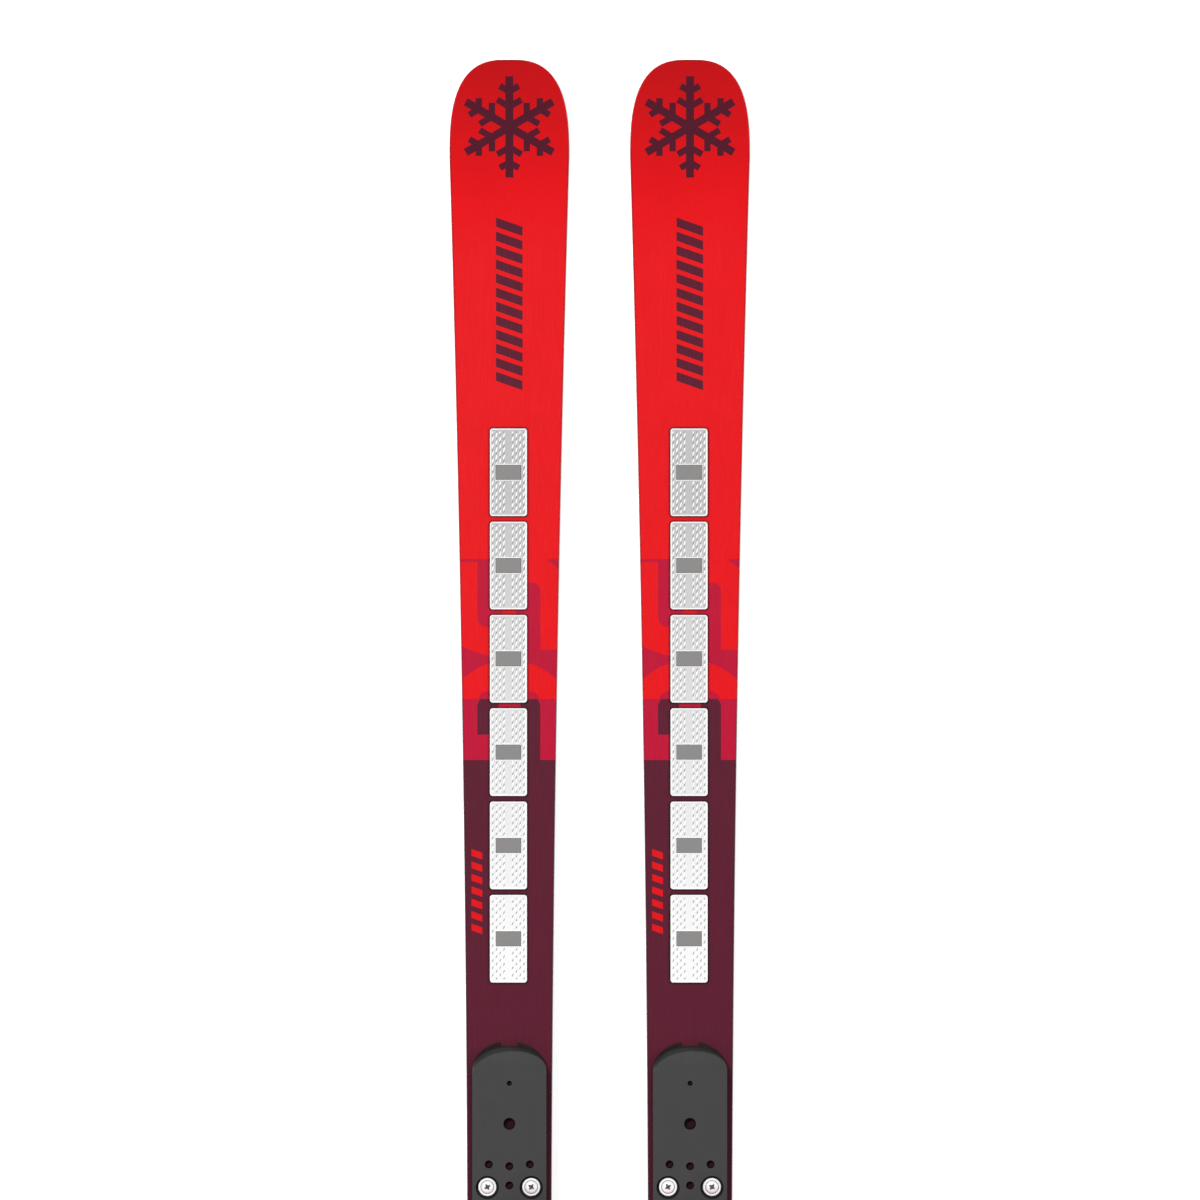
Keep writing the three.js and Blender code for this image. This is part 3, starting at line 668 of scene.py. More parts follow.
def damper_steel():
    """Pale lacquered steel, with painted shade greyer towards the tip, painted highlights on its bumps and
    rim and painted shade in its dimples.
    """
    made = Surface("damper_steel", (0.85, 0.85, 0.86), 0.34, metallic=0.1, specular_ior_level=0.5)
    # Painted shade: the plates nearer the tip are greyer.
    greyest, palest = DAMPER_FIRST + 55, DAMPER_FIRST + 5.7 * DAMPER_PITCH
    tone = made.mix(made.remap(made.axes()[1], greyest, palest), (0.47, 0.47, 0.475), (0.9, 0.9, 0.905))
    raised = made.attribute("relief")
    # Painted shade in the dimples.
    tone = made.mix(made.remap(raised, -0.05, -0.6, 0.0, 0.7), tone, (0.13, 0.13, 0.135))
    # Painted highlight on the bumps, the rim and the plain strips ahead of and behind the chip.
    tone = made.mix(made.remap(raised, 0.05, 0.7, 0.0, 0.75), tone, (0.95, 0.95, 0.95))
    made.paint(made.mix(made.remap(made.noise(3, 4), 0.4, 0.75, 0.0, 0.08), tone, (0.5, 0.5, 0.51)))
    made.rough(made.remap(made.noise(1.1, 4), 0.3, 0.7, 0.28, 0.42))
    return made.bump(made.noise(0.4, 3), 0.008)


def screw_zinc():
    """White zinc with faint stains, with painted shade inside the cross recess."""
    pale = (0.93, 0.93, 0.94)
    made = Surface("screw_zinc", pale, 0.32, metallic=0.05)
    zinc = made.mix(made.remap(made.noise(2, 4), 0.4, 0.8, 0.0, 0.15), pale, (0.6, 0.6, 0.62))
    # Painted shade inside the cross recess, where relief is below zero.
    made.paint(made.mix(made.remap(made.attribute("relief") * -1, 0.0, 0.6), zinc, (0.10, 0.10, 0.105)))
    made.rough(made.remap(made.noise(0.8, 4), 0.3, 0.7, 0.28, 0.42))
    return made.bump(made.noise(0.3, 2), 0.004)


def chip_grey():
    """Grey insert with fine ribs across it."""
    made = Surface("chip_grey", (0.27, 0.26, 0.255), 0.5)
    ribs = made.math("PINGPONG", made.axes()[1], 0.35)
    made.paint(made.mix(made.remap(ribs, 0.1, 0.25), (0.185, 0.177, 0.175), (0.245, 0.235, 0.232)))
    return made.bump(ribs, 0.2)


def dusty_rubber(name, colour):
    """Matte elastomer with a dusty bloom."""
    made = Surface(name, colour, 0.75, specular_ior_level=0.25)
    made.paint(made.mix(made.remap(made.noise(6, 5), 0.4, 0.8, 0.0, 0.12), colour, (0.06, 0.05, 0.05)))
    return made.bump(made.noise(0.5, 3), 0.02)


# Each finish is a material and the slot that it fills.
PRINT = topsheet_print().material, "topsheet"
BASE = base_graphite().material, "base"
CORE = wood_core_strips().material, "wood"
LAMINATE = metal("laminate_metal", (0.30, 0.30, 0.31), 0.45).material, "laminate"
EDGE = metal("edge_steel", (0.24, 0.24, 0.245), 0.3).material, "edge_steel"
SIDEWALL = sidewall_lacquer().material, "sidewall"
DAMPER = damper_steel().material, "damper"
CHIP = chip_grey().material, "binding_grey"
RUBBER = dusty_rubber("elastomer_dark", (0.012, 0.0025, 0.0045)).material, "rubber"
PLATE = plate_plastic().material, "plate"
BLACK = plastic("binding_black", (0.016, 0.016, 0.018), 0.42, 0.5, 0.02).material, "binding_black"
SHELL = plastic("binding_red", SHELL_RED, 0.28, 2.0, 0.006, coat_weight=0.3).material, "binding_red"
GREY = plastic("binding_grey", (0.10, 0.10, 0.105), 0.5, 0.5, 0.02).material, "binding_grey"
PALE = plastic("slider_plastic", (0.72, 0.72, 0.70), 0.35, 0.8, 0.01).material, "slider"
ZINC = metal("zinc_plate", (0.80, 0.81, 0.83), 0.3, (1.0, 1.0, 1.0)).material, "zinc"
WIRE = metal("wire_steel", (0.60, 0.61, 0.63), 0.28).material, "zinc"
TRACK = ZINC[0], "binding_grey"
SCREW = screw_zinc().material, "zinc"
# Plastic for the hole plugs, its maroon darkened as painted shade.
HOLE_PLUG_PLASTIC = plastic("shaded_hole_maroon", SHADED_HOLE_MAROON, 0.7, 0.5, 0.02, specular_ior_level=0.1)
HOLE_PLUG = HOLE_PLUG_PLASTIC.material, "binding_red"


# ---------------------------------------------------------------- the ski

def share(s, start, end):
    return min(1.0, max(0.0, (s - start) / (end - start)))


def half_width(s):
    """Half the ski's width: two sidecut arcs, with a rounded tip and tail."""
    inner = min(max(s, TIP_LENGTH), SKI_LENGTH - TAIL_LENGTH)
    radius = FRONT_SIDECUT_RADIUS if inner < WAIST_AT else REAR_SIDECUT_RADIUS
    sidecut = WAIST_WIDTH / 2 + (inner - WAIST_AT) ** 2 / (2 * radius)
    tip = (1 - (1 - share(s, 0, TIP_LENGTH)) ** TIP_ROUNDNESS) ** (1 / TIP_ROUNDNESS)
    tail = (1 - share(s, SKI_LENGTH - TAIL_LENGTH, SKI_LENGTH) ** TAIL_ROUNDNESS) ** (1 / TAIL_ROUNDNESS)
    return sidecut * tip * tail


def inset_half_width(s, inset):
    step = 0.01
    slope = (half_width(s + step) - half_width(s - step)) / (2 * step)
    return half_width(s) - inset * math.sqrt(1 + slope * slope)


def base_height(s):
    """Height of the running base above the floor."""
    if s < FRONT_CONTACT:
        return TIP_RISE * ((FRONT_CONTACT - s) / FRONT_CONTACT) ** RISE_POWER
    if s > REAR_CONTACT:
        return TAIL_RISE * share(s, REAR_CONTACT, SKI_LENGTH) ** 2
    u = 2 * (s - FRONT_CONTACT) / (REAR_CONTACT - FRONT_CONTACT) - 1
    return CAMBER * (1 - u ** 4) ** 2


def top_height(s):
    """Height of the ski's top: flat under the plates, and thin at the tip and tail."""
    if DECK_START <= s <= DECK_END:
        return DECK_HEIGHT
    ends = (FRONT_CONTACT, DECK_START, TIP_THICKNESS), (REAR_CONTACT, DECK_END, TAIL_THICKNESS)
    end, deck, thin = ends[s > DECK_END]
    t = share(s, end, deck)
    return base_height(s) + thin + (DECK_HEIGHT - base_height(deck) - thin) * t * t * (3 - 2 * t)


def spread(a, b, count):
    return [a + (b - a) * k / count for k in range(count)]


STATIONS = (
    [TIP_LENGTH * t * t for t in spread(0.06, 1, 48)]
    + spread(TIP_LENGTH, FRONT_CONTACT, 20)
    + spread(FRONT_CONTACT, DECK_START, 60)
    + spread(DECK_START, DECK_END, 20)
    + spread(DECK_END, REAR_CONTACT, 40)
    + spread(REAR_CONTACT, SKI_LENGTH - TAIL_LENGTH, 8)
    + [SKI_LENGTH - TAIL_LENGTH * (1 - t) ** 2 for t in spread(0, 1, 20)]
    + [SKI_LENGTH - 0.05]
)


def layer(bottom_at, top_at, bottom_inset, top_inset=None):
    """One layer of the ski between two heights, with its edges moved inwards."""
    top_inset = bottom_inset if top_inset is None else top_inset
    rings = []
    for s in STATIONS:
        if inset_half_width(s, max(bottom_inset, top_inset)) > 1:
            low, high = inset_half_width(s, bottom_inset), inset_half_width(s, top_inset)
            rings.append([place(x, s, z) for x, z in mirrored([(low, bottom_at(s)), (high, top_at(s))])])
    return loft(rings)


def above(height):
    return lambda s: base_height(s) + height


def below(depth):
    return lambda s: top_height(s) - depth


def rim(bottom_at, top_at, bottom_inset, top_inset, width):
    """A layer with its middle taken out."""
    inner = layer(lambda s: bottom_at(s) - 2, lambda s: top_at(s) + 2, width)
    return cut(layer(bottom_at, top_at, bottom_inset, top_inset), inner)


def build_ski():
    lower = BASE_THICKNESS + GLUE
    core = lower + LAMINATE_THICKNESS + GLUE
    upper = TOPSHEET_THICKNESS + GLUE
    roof = upper + LAMINATE_THICKNESS + GLUE
    base = layer(above(0), above(BASE_THICKNESS), EDGE_WIDTH + GLUE)
    edge = rim(above(0), above(BASE_THICKNESS), 0, 0, EDGE_WIDTH)
    lower_metal = layer(above(lower), above(lower + LAMINATE_THICKNESS), LAMINATE_INSET)
    strips = layer(above(core), below(roof), SIDEWALL_WIDTH + CLEARANCE)
    sidewall = rim(above(core), below(roof), LAMINATE_INSET, TOP_INSET, SIDEWALL_WIDTH)
    upper_metal = layer(below(upper + LAMINATE_THICKNESS), below(upper), TOP_INSET)
    sheet = layer(below(TOPSHEET_THICKNESS), below(0), TOP_INSET)
    piece("sintered_base", base, BASE, cad=["running_base"])
    piece("full_wrap_edge", edge, EDGE, cad=["steel_edge"])
    piece("lower_metal_sheet", lower_metal, LAMINATE, cad=["lower_laminate"])
    piece("core_strips", strips, CORE, cad=["wood_core"])
    piece("phenolic_sidewall", sidewall, SIDEWALL, cad=["sidewall"])
    piece("upper_metal_sheet", upper_metal, LAMINATE, cad=["upper_laminate"])
    piece("printed_topsheet", sheet, PRINT, cad=["topsheet"], bevel=0.25, segments=2, angle=50)


# ---------------------------------------------------------------- damper modules

EDGE_ROUND = 0.45
BED_OVERHANG = 0.1
BED_TOP = 0.95
RIM_WIDTH = 0.95
PANEL_MARGIN = 2.65  # plain strip at each end of a plate
FIELD_DEPTH = 0.12
BUMP_HEIGHT = 0.1
DIMPLE_DEPTH = 0.11
BUMP = (2.05, 0.5)  # half length and half width
DIMPLE = (1.6, 0.47)
BUMP_LEAN = math.radians(74)
COLUMN_FIRST = 3.39
COLUMN_PITCH = 2.9
COLUMNS = 4
ROW_FIRST = 2.57
ROW_PITCH = 5.69


def inside_rounded(x, t, half, length, corner):
    """How far a point is inside a rounded rectangle from t = 0 to length."""
    a, b = abs(x) - half + corner, abs(t - length / 2) - length / 2 + corner
    return corner - math.hypot(max(a, 0), max(b, 0)) - min(max(a, b), 0)


def onto_corner(x, t, half, length, corner):
    """Moves a grid point that lies past a rounded corner back onto it."""
    a, b = abs(x) - half + corner, abs(t - length / 2) - length / 2 + corner
    if a <= 0 or b <= 0 or math.hypot(a, b) <= corner:
        return x, t
    k = corner / math.hypot(a, b)
    return (math.copysign(half - corner + a * k, x),
            length / 2 + math.copysign(length / 2 - corner + b * k, t - length / 2))


def grid_lines(low, high, step, marks=()):
    """Evenly spaced places, with more at both ends and close on both sides of each mark."""
    count = max(1, round((high - low) / step))
    lines = set(spread(low, high, count)) | {high}
    for offset in (0.08, 0.2, 0.42):
        lines |= {low + offset, high - offset}
    lines |= {mark + side for mark in marks for side in (-0.05, 0.05)}
    kept = []
    for value in sorted(lines):
        if not kept or value - kept[-1] > 0.04:
            kept.append(value)
    kept[-1] = high
    return kept


def shaped_plate(start, half, length, corner, bottom, height, steps=(2.0, 2.0), marks=((), ())):
    """A part of a damper with rounded corners that follows the ski's top, its upper face at height(x, t)."""
    xs = grid_lines(-half, half, steps[0], marks[0])
    ts = grid_lines(0, length, steps[1], marks[1])
    top, under = [], []
    for t in ts:
        for x in xs:
            px, pt = onto_corner(x, t, half, length, corner)
            depth = min(1.0, max(0.0, inside_rounded(px, pt, half, length, corner)) / EDGE_ROUND)
            drop = EDGE_ROUND * 0.7 * (1 - math.sqrt(1 - (1 - depth) ** 2))
            floor = top_height(start + pt)
            top.append(place(px + DAMPER_SHIFT, start + pt, floor + height(px, pt) - drop))
            under.append(place(px + DAMPER_SHIFT, start + pt, floor + bottom))
    wide, deep = len(xs), len(ts)
    faces = []
    for j in range(deep - 1):
        for i in range(wide - 1):
            a = j * wide + i
            faces.append([a, a + 1, a + wide + 1, a + wide])
    count = len(top)
    loop = [*range(wide), *range(2 * wide - 1, count, wide), *range(count - 2, count - wide - 1, -1),
            *range(count - 2 * wide, 0, -wide)]
    painted_wall_shade = [[a, b, b + count, a + count] for a, b in zip(loop, loop[1:] + loop[:1])]
    return mesh_of(top + under, faces + painted_wall_shade + [[a + count for a in loop]])


def relief(x, t):
    """1 on top of a bump and -1 at the bottom of a dimple; they take turns along and across the columns."""
    strongest = 0.0
    for side in (-1, 1):
        for k in range(COLUMNS):
            dx = x - side * (COLUMN_FIRST + k * COLUMN_PITCH)
            if abs(dx) > BUMP[0]:
                continue
            first = ROW_FIRST + ROW_PITCH / 2 * ((k + (side < 0)) % 2)
            step = round((t - first) / (ROW_PITCH / 2))
            for j in (step - 1, step, step + 1):
                dt = t - first - j * ROW_PITCH / 2
                a = dx * math.cos(BUMP_LEAN) - dt * math.sin(BUMP_LEAN)
                b = dx * math.sin(BUMP_LEAN) + dt * math.cos(BUMP_LEAN)
                length, width = DIMPLE if j % 2 else BUMP
                r = (a / length) ** 2 + (b / width) ** 2
                swell = math.sqrt(max(0.0, 1 - r)) * (-1 if j % 2 else 1)
                strongest = swell if abs(swell) > abs(strongest) else strongest
    return strongest


def damper_relief(x, t):
    """Relief of the whole plate: 2 on its rim, 1 just ahead of and behind its chip, 0 on plain strips."""
    border = inside_rounded(x, t, DAMPER_WIDTH / 2, DAMPER_LENGTH, DAMPER_CORNER)
    if border < RIM_WIDTH:
        return 2.0
    middle = abs(t - DAMPER_LENGTH / 2)
    if middle > DAMPER_LENGTH / 2 - PANEL_MARGIN:
        return 0.0
    window = max(abs(x) - CHIP_WIDTH / 2, middle - CHIP_LENGTH / 2)
    if window < 0.7:
        return 1.0 if middle > CHIP_LENGTH / 2 else 0.0
    return relief(x, t) * min(1.0, (window - 0.7) / 0.3)


def damper_surface(x, t):
    """Upper face of a damper plate: a raised rim, two embossed panels and a pocket for the chip."""
    top = DAMPER_BED + DAMPER_THICKNESS
    if abs(x) < CHIP_WIDTH / 2 and abs(t - DAMPER_LENGTH / 2) < CHIP_LENGTH / 2:
        return POCKET_FLOOR
    level = damper_relief(x, t)
    if level > 1.5:
        return top
    return top - FIELD_DEPTH + (BUMP_HEIGHT if level > 0 else DIMPLE_DEPTH) * level


def keep_relief(mesh, relief_at):
    """Stores relief_at(x, y, z), in millimetres, at each point of a mesh for its material."""
    values = mesh.attributes.new("relief", "FLOAT", "POINT").data
    for value, vertex in zip(values, mesh.vertices):
        value.value = relief_at(*[c / MM for c in vertex.co])
    return mesh


def build_dampers():
    steps = ((0.3, 0.38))
    half, middle = DAMPER_WIDTH / 2, DAMPER_LENGTH / 2
    window = (-CHIP_WIDTH / 2, CHIP_WIDTH / 2), (middle - CHIP_LENGTH / 2, middle + CHIP_LENGTH / 2)
    chip_top = DAMPER_BED + DAMPER_THICKNESS - CHIP_SUNK
    for number in range(1, DAMPER_COUNT + 1):
        start = DAMPER_FIRST + (number - 1) * DAMPER_PITCH
        bed = shaped_plate(start - BED_OVERHANG, half + BED_OVERHANG, DAMPER_LENGTH + 2 * BED_OVERHANG,
                           DAMPER_CORNER, 0.02, lambda x, t: BED_TOP, (3.0, 3.0))
        plate = shaped_plate(start, half, DAMPER_LENGTH, DAMPER_CORNER, DAMPER_BED, damper_surface, steps,
                             window)
        keep_relief(plate, lambda x, y, z: damper_relief(x - DAMPER_SHIFT, SKI_LENGTH / 2 - y - start))
        chip = shaped_plate(start + middle - CHIP_LENGTH / 2 + CHIP_GAP, CHIP_WIDTH / 2 - CHIP_GAP,
                            CHIP_LENGTH - 2 * CHIP_GAP, 0.4, POCKET_FLOOR, lambda x, t: chip_top, (1.0, 1.0))
        piece(f"damper_bed_{number}", bed, RUBBER)
        piece(f"damper_plate_{number}", plate, DAMPER, cad=[f"damper_{number}"], angle=50)
        piece(f"damper_chip_{number}", chip, CHIP, angle=50)


# ---------------------------------------------------------------- binding plate

def nose_outline(half, start, end, nose, steps=40):
    """A strip with one elliptical nose, towards the tip if nose is above zero or else towards the tail."""
    arc = []
    for k in range(steps + 1):
        turn = math.pi * k / steps
        reach = abs(nose) * (1 - math.sin(turn))
        arc.append((-half * math.cos(turn), start + reach if nose > 0 else end - reach))
    flat_end = end if nose > 0 else start
    return arc + [(half, flat_end), (-half, flat_end)]


def chamfered_plate(start, end, nose, chamfer, skew=0.0):
    """A plate whose nose is chamfered at its top, by skew more on its left than in its middle."""
    half, sign = PLATE_WIDTH / 2, math.copysign(1, nose)
    low = nose_outline(half, start, end, nose)
    high = []
    for x, s in low[:-2]:
        side = x / half
        high.append((x, s + sign * (chamfer - skew * side) * (1 - CHAMFER_FADE * side * side)))
    high += low[-2:]
    levels = (low, DECK_HEIGHT + PAD_THICKNESS), (low, PLATE_TOP - PLATE_CHAMFER_DEPTH), (high, PLATE_TOP)
    return loft([[place(x, s, z) for x, s in outline] for outline, z in levels])


SEAT_RADIUS = 9
SEAT_DEPTH = 3
SEAT_SHIFT = 0.35  # how far the seats lie behind their screws
FRONT_SCREWS = ((-17, 873.2, 32), (17, 873.2, -35))
MIDDLE_SCREWS = ((-17, 1040, 50), (17, 1040, 10))
REAR_SCREWS = ((-17, 1118, 5), (17, 1118, 70), (0, 1360, 30))
FRONT_HOLES = ((0, 824.2, 4.6), (0, 857, 3.1), (0, 871.9, 3.1), (-15.9, 855.6, 3.1), (15.9, 855.6, 3.1),
               (0, 792.8, 1.95))  # x, s and radius
THROUGH = (0, 60)  # heights of a tool that cuts right through a plate


def seats(screws):
    """Tools for the sunk seats of a plate's screws."""
    levels = PLATE_TOP - SEAT_DEPTH, PLATE_TOP + 2
    return [rod("z", x, s + SEAT_SHIFT, SEAT_RADIUS, *levels, 48) for x, s, _ in screws]


def hole_row(s):
    """Tools for three small holes across a plate."""
    return [rod("z", x, s, 2.2, *THROUGH, 24) for x in (-20, 0, 20)]


def screw_mesh():
    """A pan head with a cross recess and four fine strokes between its arms, its underside at z = 0."""
    head = lathe([(0, 0), (4.9, 0), (5.0, 0.4), (4.85, 1.5), (4.4, 2.1), (3.4, 2.55), (0, 2.7)])
    tools = []
    for width, reach, depth, turns in ((0.7, 2.7, 2.0, (0, 90)), (0.22, 2.2, 0.9, (45, 135))):
        blade = mirrored([(width, -reach), (width, reach)])
        levels = ((2.7 - depth, 0.6), (3.0, 1.05))
        for turn in turns:
            tool = loft([[Vector((x * k, y * k, z)) * MM for x, y in blade] for z, k in levels])
            tool.transform(Matrix.Rotation(math.radians(turn), 4, "Z"))
            tools.append(tool)
    # The recess is marked -1 in relief, where the zinc's material paints shade.
    return keep_relief(cut(head, *tools), lambda x, y, z: -1.0 if z < 2.3 and math.hypot(x, y) < 2.5 else 0.0)


def washer_mesh():
    ring = [(0, 0), (6.9, 0), (7.05, 0.25), (6.95, 1.0), (6.6, 1.3), (5.9, 1.35), (0, 1.35)]
    return cut(lathe(ring), rod("z", 0, SKI_LENGTH / 2, 5.3, -1, 3, 48))


def build_screws(name, screws, floor):
    """A washer and a screw at each (x, s, turn), standing on floor."""
    head, ring = screw_mesh(), washer_mesh()
    for number, (x, s, turn) in enumerate(screws, 1):
        screw = moved(head, x, s, floor + 0.3, turn)
        piece(f"{name}_washer_{number}", moved(ring, x, s, floor), SCREW)
        piece(f"{name}_screw_{number}", screw, SCREW, bevel=0.1, segments=2)


def build_plates():
    half = PLATE_WIDTH / 2
    nose = nose_outline(half + PAD_OVERHANG, PLATE_START - PAD_MARGIN, PLATE_END, PLATE_NOSE + PAD_MARGIN)
    tail = nose_outline(half + 1, PLATE_START - 10, PLATE_END, -PLATE_NOSE / 2)
    pad = common(slab(nose, DECK_HEIGHT, DECK_HEIGHT + PAD_THICKNESS), slab(tail, *THROUGH))
    notch = slab(rounded(mirrored([(7.5, PLATE_START - 9), (6.5, PLATE_START + 5, 2)])), *THROUGH)
    holes = [rod("z", x, s, r, *THROUGH) for x, s, r in FRONT_HOLES]
    low = DECK_HEIGHT + 0.2
    # Dark maroon plugs in the plate's holes: painted shade of the holes' depths.
    hole_plugs = [rod("z", x, s, r - 0.45, low, PLATE_TOP - 0.9 * r - 1, 32) for x, s, r in FRONT_HOLES]
    piece("shaded_hole_plugs", joined(*hole_plugs), HOLE_PLUG, bevel=0.25)
    piece("plate_gasket", cut(pad, notch, *holes), RUBBER, cad=["plate_pad"], bevel=0.3)
    end = PLATE_SPLIT - PLATE_SPLIT_GAP / 2
    front = chamfered_plate(PLATE_START, end, PLATE_NOSE, PLATE_CHAMFER, PLATE_CHAMFER_SKEW)
    tools = [rod("z", x, s, r, DECK_HEIGHT + 0.5, PLATE_TOP + 2) for x, s, r in FRONT_HOLES]
    front = cut(front, *tools, *hole_row(1015), *hole_row(1064), *seats(FRONT_SCREWS + MIDDLE_SCREWS))
    piece("front_binding_plate", front, PLATE, cad=["front_plate"], bevel=0.35)
    rear = chamfered_plate(end + PLATE_SPLIT_GAP, PLATE_END, -PLATE_NOSE / 2, 3.0)
    rear = cut(rear, *hole_row(1106), *seats(REAR_SCREWS))
    piece("rear_binding_plate", rear, PLATE, cad=["rear_plate"], bevel=0.35)
    build_screws("plate", FRONT_SCREWS + MIDDLE_SCREWS + REAR_SCREWS, PLATE_TOP - SEAT_DEPTH + 0.02)


# ---------------------------------------------------------------- toe piece

TOE_STEP = PLATE_TOP + 6.5
TOE_TOP = 82
PLATFORM = SOLE_HEIGHT - 5
WING_HEIGHTS = (52, 78)


def toe_base():
    """A low base that steps up to the platform of the sole pad, with ribs down its sides."""
    side = [(889, PLATE_TOP), (889, TOE_STEP - 2, 1), (893, TOE_STEP, 2), (955, TOE_STEP),
            (958, PLATFORM, 1.5), (1004, PLATFORM, 2), (1009, PLATFORM - 4, 2), (1009, PLATE_TOP)]
    plan = mirrored([(20, 889, 8), (28, 903, 6), (28, 1009, 5)])
    base = common(across(rounded(side), -40, 40), slab(rounded(plan), PLATE_TOP, SOLE_HEIGHT))
    ribs = [box(x0, x1, s, s + 4, PLATE_TOP + 1.5, PLATFORM - 3)
            for x0, x1 in both_sides(26.8, 29.6) for s in range(962, 1000, 8)]
    return cut(base, *ribs)


def toe_shell():
    """The housing: a sloped nose under a lid that holds the wings' pins, with a window for the gauge."""
    step, top = TOE_STEP, TOE_TOP
    nose = [(890.5, step), (890.5, 66, 6), (900, 76, 8), (914, top, 6), (922, top), (922, step)]
    nose_plan = mirrored([(16, 890, 6), (23, 902, 6), (23, 922)])
    lid_plan = mirrored([(23, 915), (30, 930, 8), (27, 944, 6)])
    shell = fused(common(across(rounded(nose), -30, 30), slab(rounded(nose_plan), step, top)),
                  slab(rounded(lid_plan), WING_HEIGHTS[1] + CLEARANCE, top),
                  box(-9.5, 9.5, 920, 947, step, top - 1))
    s, z = TOE_SCREW
    bore = rod("s", 0, z, SCREW_BORE, s - 10, s + 15)
    grooves = [box(-12, 12, s, s + 2, top - 0.8, top + 3) for s in range(917, 933, 5)]
    window = common(slab(oblong(5, 896, 908, 1.5), 70, 90),
                    across([(897, 70.5), (908, 76.5), (908, 84), (897, 84)], -5, 5))
    slot = rounded([(899, 46, 2), (899, 62, 2), (915, 66, 2), (915, 46, 2)])
    slots = [across(slot, *ends) for ends in both_sides(22.3, 30)]
    return cut(shell, bore, *grooves, *slots, window)


def toe_gauge():
    """A small sloped scale with three lines."""
    gauge = across([(897.5, 70.4), (907.5, 75.8), (907.5, 77), (897.5, 71.6)], -4.5, 4.5)
    return cut(gauge, *[box(-3.5, 3.5, s, s + 0.7, 60, 90) for s in (899.5, 901.8, 904.1)])


def toe_wing(sign):
    """A wing on its pin, hollowed out on its outer side."""
    plan = [(12, 929, 5), (12, 950.9), (20, 954.6), (26, 959), (31, 964.5), (34.5, 971, 2), (40.5, 972, 3),
            (39.5, 955, 10), (33, 939, 8), (27.5, 928, 6)]
    hollow = [(30, 940, 3), (36, 955, 3), (37, 966, 2), (50, 966), (50, 930), (34, 930)]
    x, s, r = WING_PIVOT
    return cut(slab(rounded(flipped(plan, sign)), *WING_HEIGHTS),
               rod("z", sign * x, s, r + CLEARANCE, 40, 90), slab(rounded(flipped(hollow, sign)), 58, 72))


def toe_wing_lining(sign):
    """A thin pad on the face that holds the boot."""
    plan = [(20.6, 954.4), (26.5, 958.6), (31.5, 964.2), (34.2, 969.3), (33.6, 969.8), (31, 965),
            (25.8, 959.6), (20, 955.2)]
    return slab(rounded(flipped(plan, sign)), 56, 74)


def build_toe():
    piece("toe_base_plate", toe_base(), BLACK, cad=["toe_base"], bevel=0.5)
    piece("toe_shell", toe_shell(), SHELL, cad=["toe_housing"], bevel=0.7)
    piece("toe_setting_gauge", toe_gauge(), PALE, bevel=0.1)
    x, s, r = WING_PIVOT
    pin = lathe([(0, -43), (r, -43), (r, 0.2), (4.6, 0.2), (4.4, 1.2), (3.4, 1.7), (0, 1.8)])
    piece("toe_wing_pins", joined(moved(pin, -x, s, TOE_TOP), moved(pin, x, s, TOE_TOP)), ZINC, bevel=0.1)
    for name, sign in SIDES:
        wing = f"toe_wing_{name}"
        piece(f"{wing}_cast", toe_wing(sign), BLACK, wing, [wing], bevel=0.9)
        piece(f"{wing}_lining", toe_wing_lining(sign), PALE, wing, bevel=0.15)
    pad = slab(oblong(23, 965, 1001, 4), PLATFORM + CLEARANCE, SOLE_HEIGHT)
    lines = [box(-19, 19, s, s + 1.4, SOLE_HEIGHT - 0.6, SOLE_HEIGHT + 2) for s in range(970, 997, 4)]
    piece("sole_slide_pad", cut(pad, *lines), PALE, "toe_sole_slider", ["toe_sole_slider"], bevel=0.4)
    s, z = TOE_SCREW
    screw = moved(adjuster_mesh(), 0, s, z, tilt=-90)
    piece("toe_adjuster", screw, ZINC, "toe_setting_screw", ["toe_setting_screw"], bevel=0.15)
    build_screws("toe", ((-22, 950, 15), (22, 950, 60)), TOE_STEP + 0.02)


def adjuster_mesh():
    """A round screw with a crossed slot, its face at z = 0 and its body below."""
    body = lathe([(0, -15), (5, -15), (5, -0.6), (4.4, 0), (0, 0)])
    middle = SKI_LENGTH / 2
    blades = [box(-x, x, middle - s, middle + s, -2, 1) for x, s in ((0.7, 5), (5, 0.7))]
    return cut(body, *blades)


# ---------------------------------------------------------------- heel piece

TRACK_TOP = PLATE_TOP + 6.6


def heel_rail():
    """A T-shaped track with a row of teeth down its middle."""
    section = mirrored([(18, PLATE_TOP), (18, PLATE_TOP + 3), (22, PLATE_TOP + 3), (22, TRACK_TOP)])
    teeth = [box(-5, 5, s, s + 2, TRACK_TOP - 1.6, TRACK_TOP + 2) for s in range(1214, 1341, 4)]
    return cut(along(section, 1212, 1342), *teeth)


def heel_sled():
    """The carriage, which grips the track from both sides and holds the housing between two cheeks."""
    deck, wall, grip = 45, 22.3, 19
    low, grip_top = PLATE_TOP + CLEARANCE, PLATE_TOP + 2.7
    section = mirrored([(wall, TRACK_TOP + CLEARANCE), (wall, grip_top), (grip, grip_top), (grip, low),
                        (27, low), (27, deck)])
    s = HEEL_PIVOT[0]
    cheek = rounded([(s - 16, deck - 1), (s - 12, 70, 6), (s + 12, 70, 6), (s + 16, deck - 1)])
    cheeks = [across(cheek, *ends) for ends in both_sides(22.4, 27)]
    vents = [box(*ends, s, s + 8, 36, deck - 3) for s in (1252, 1264) for ends in both_sides(25.8, 30)]
    ledge = box(-18, 18, 1316, 1330, deck - 1.2, deck + 3)
    return cut(fused(along(section, 1246, 1326), *cheeks), *vents, ledge)


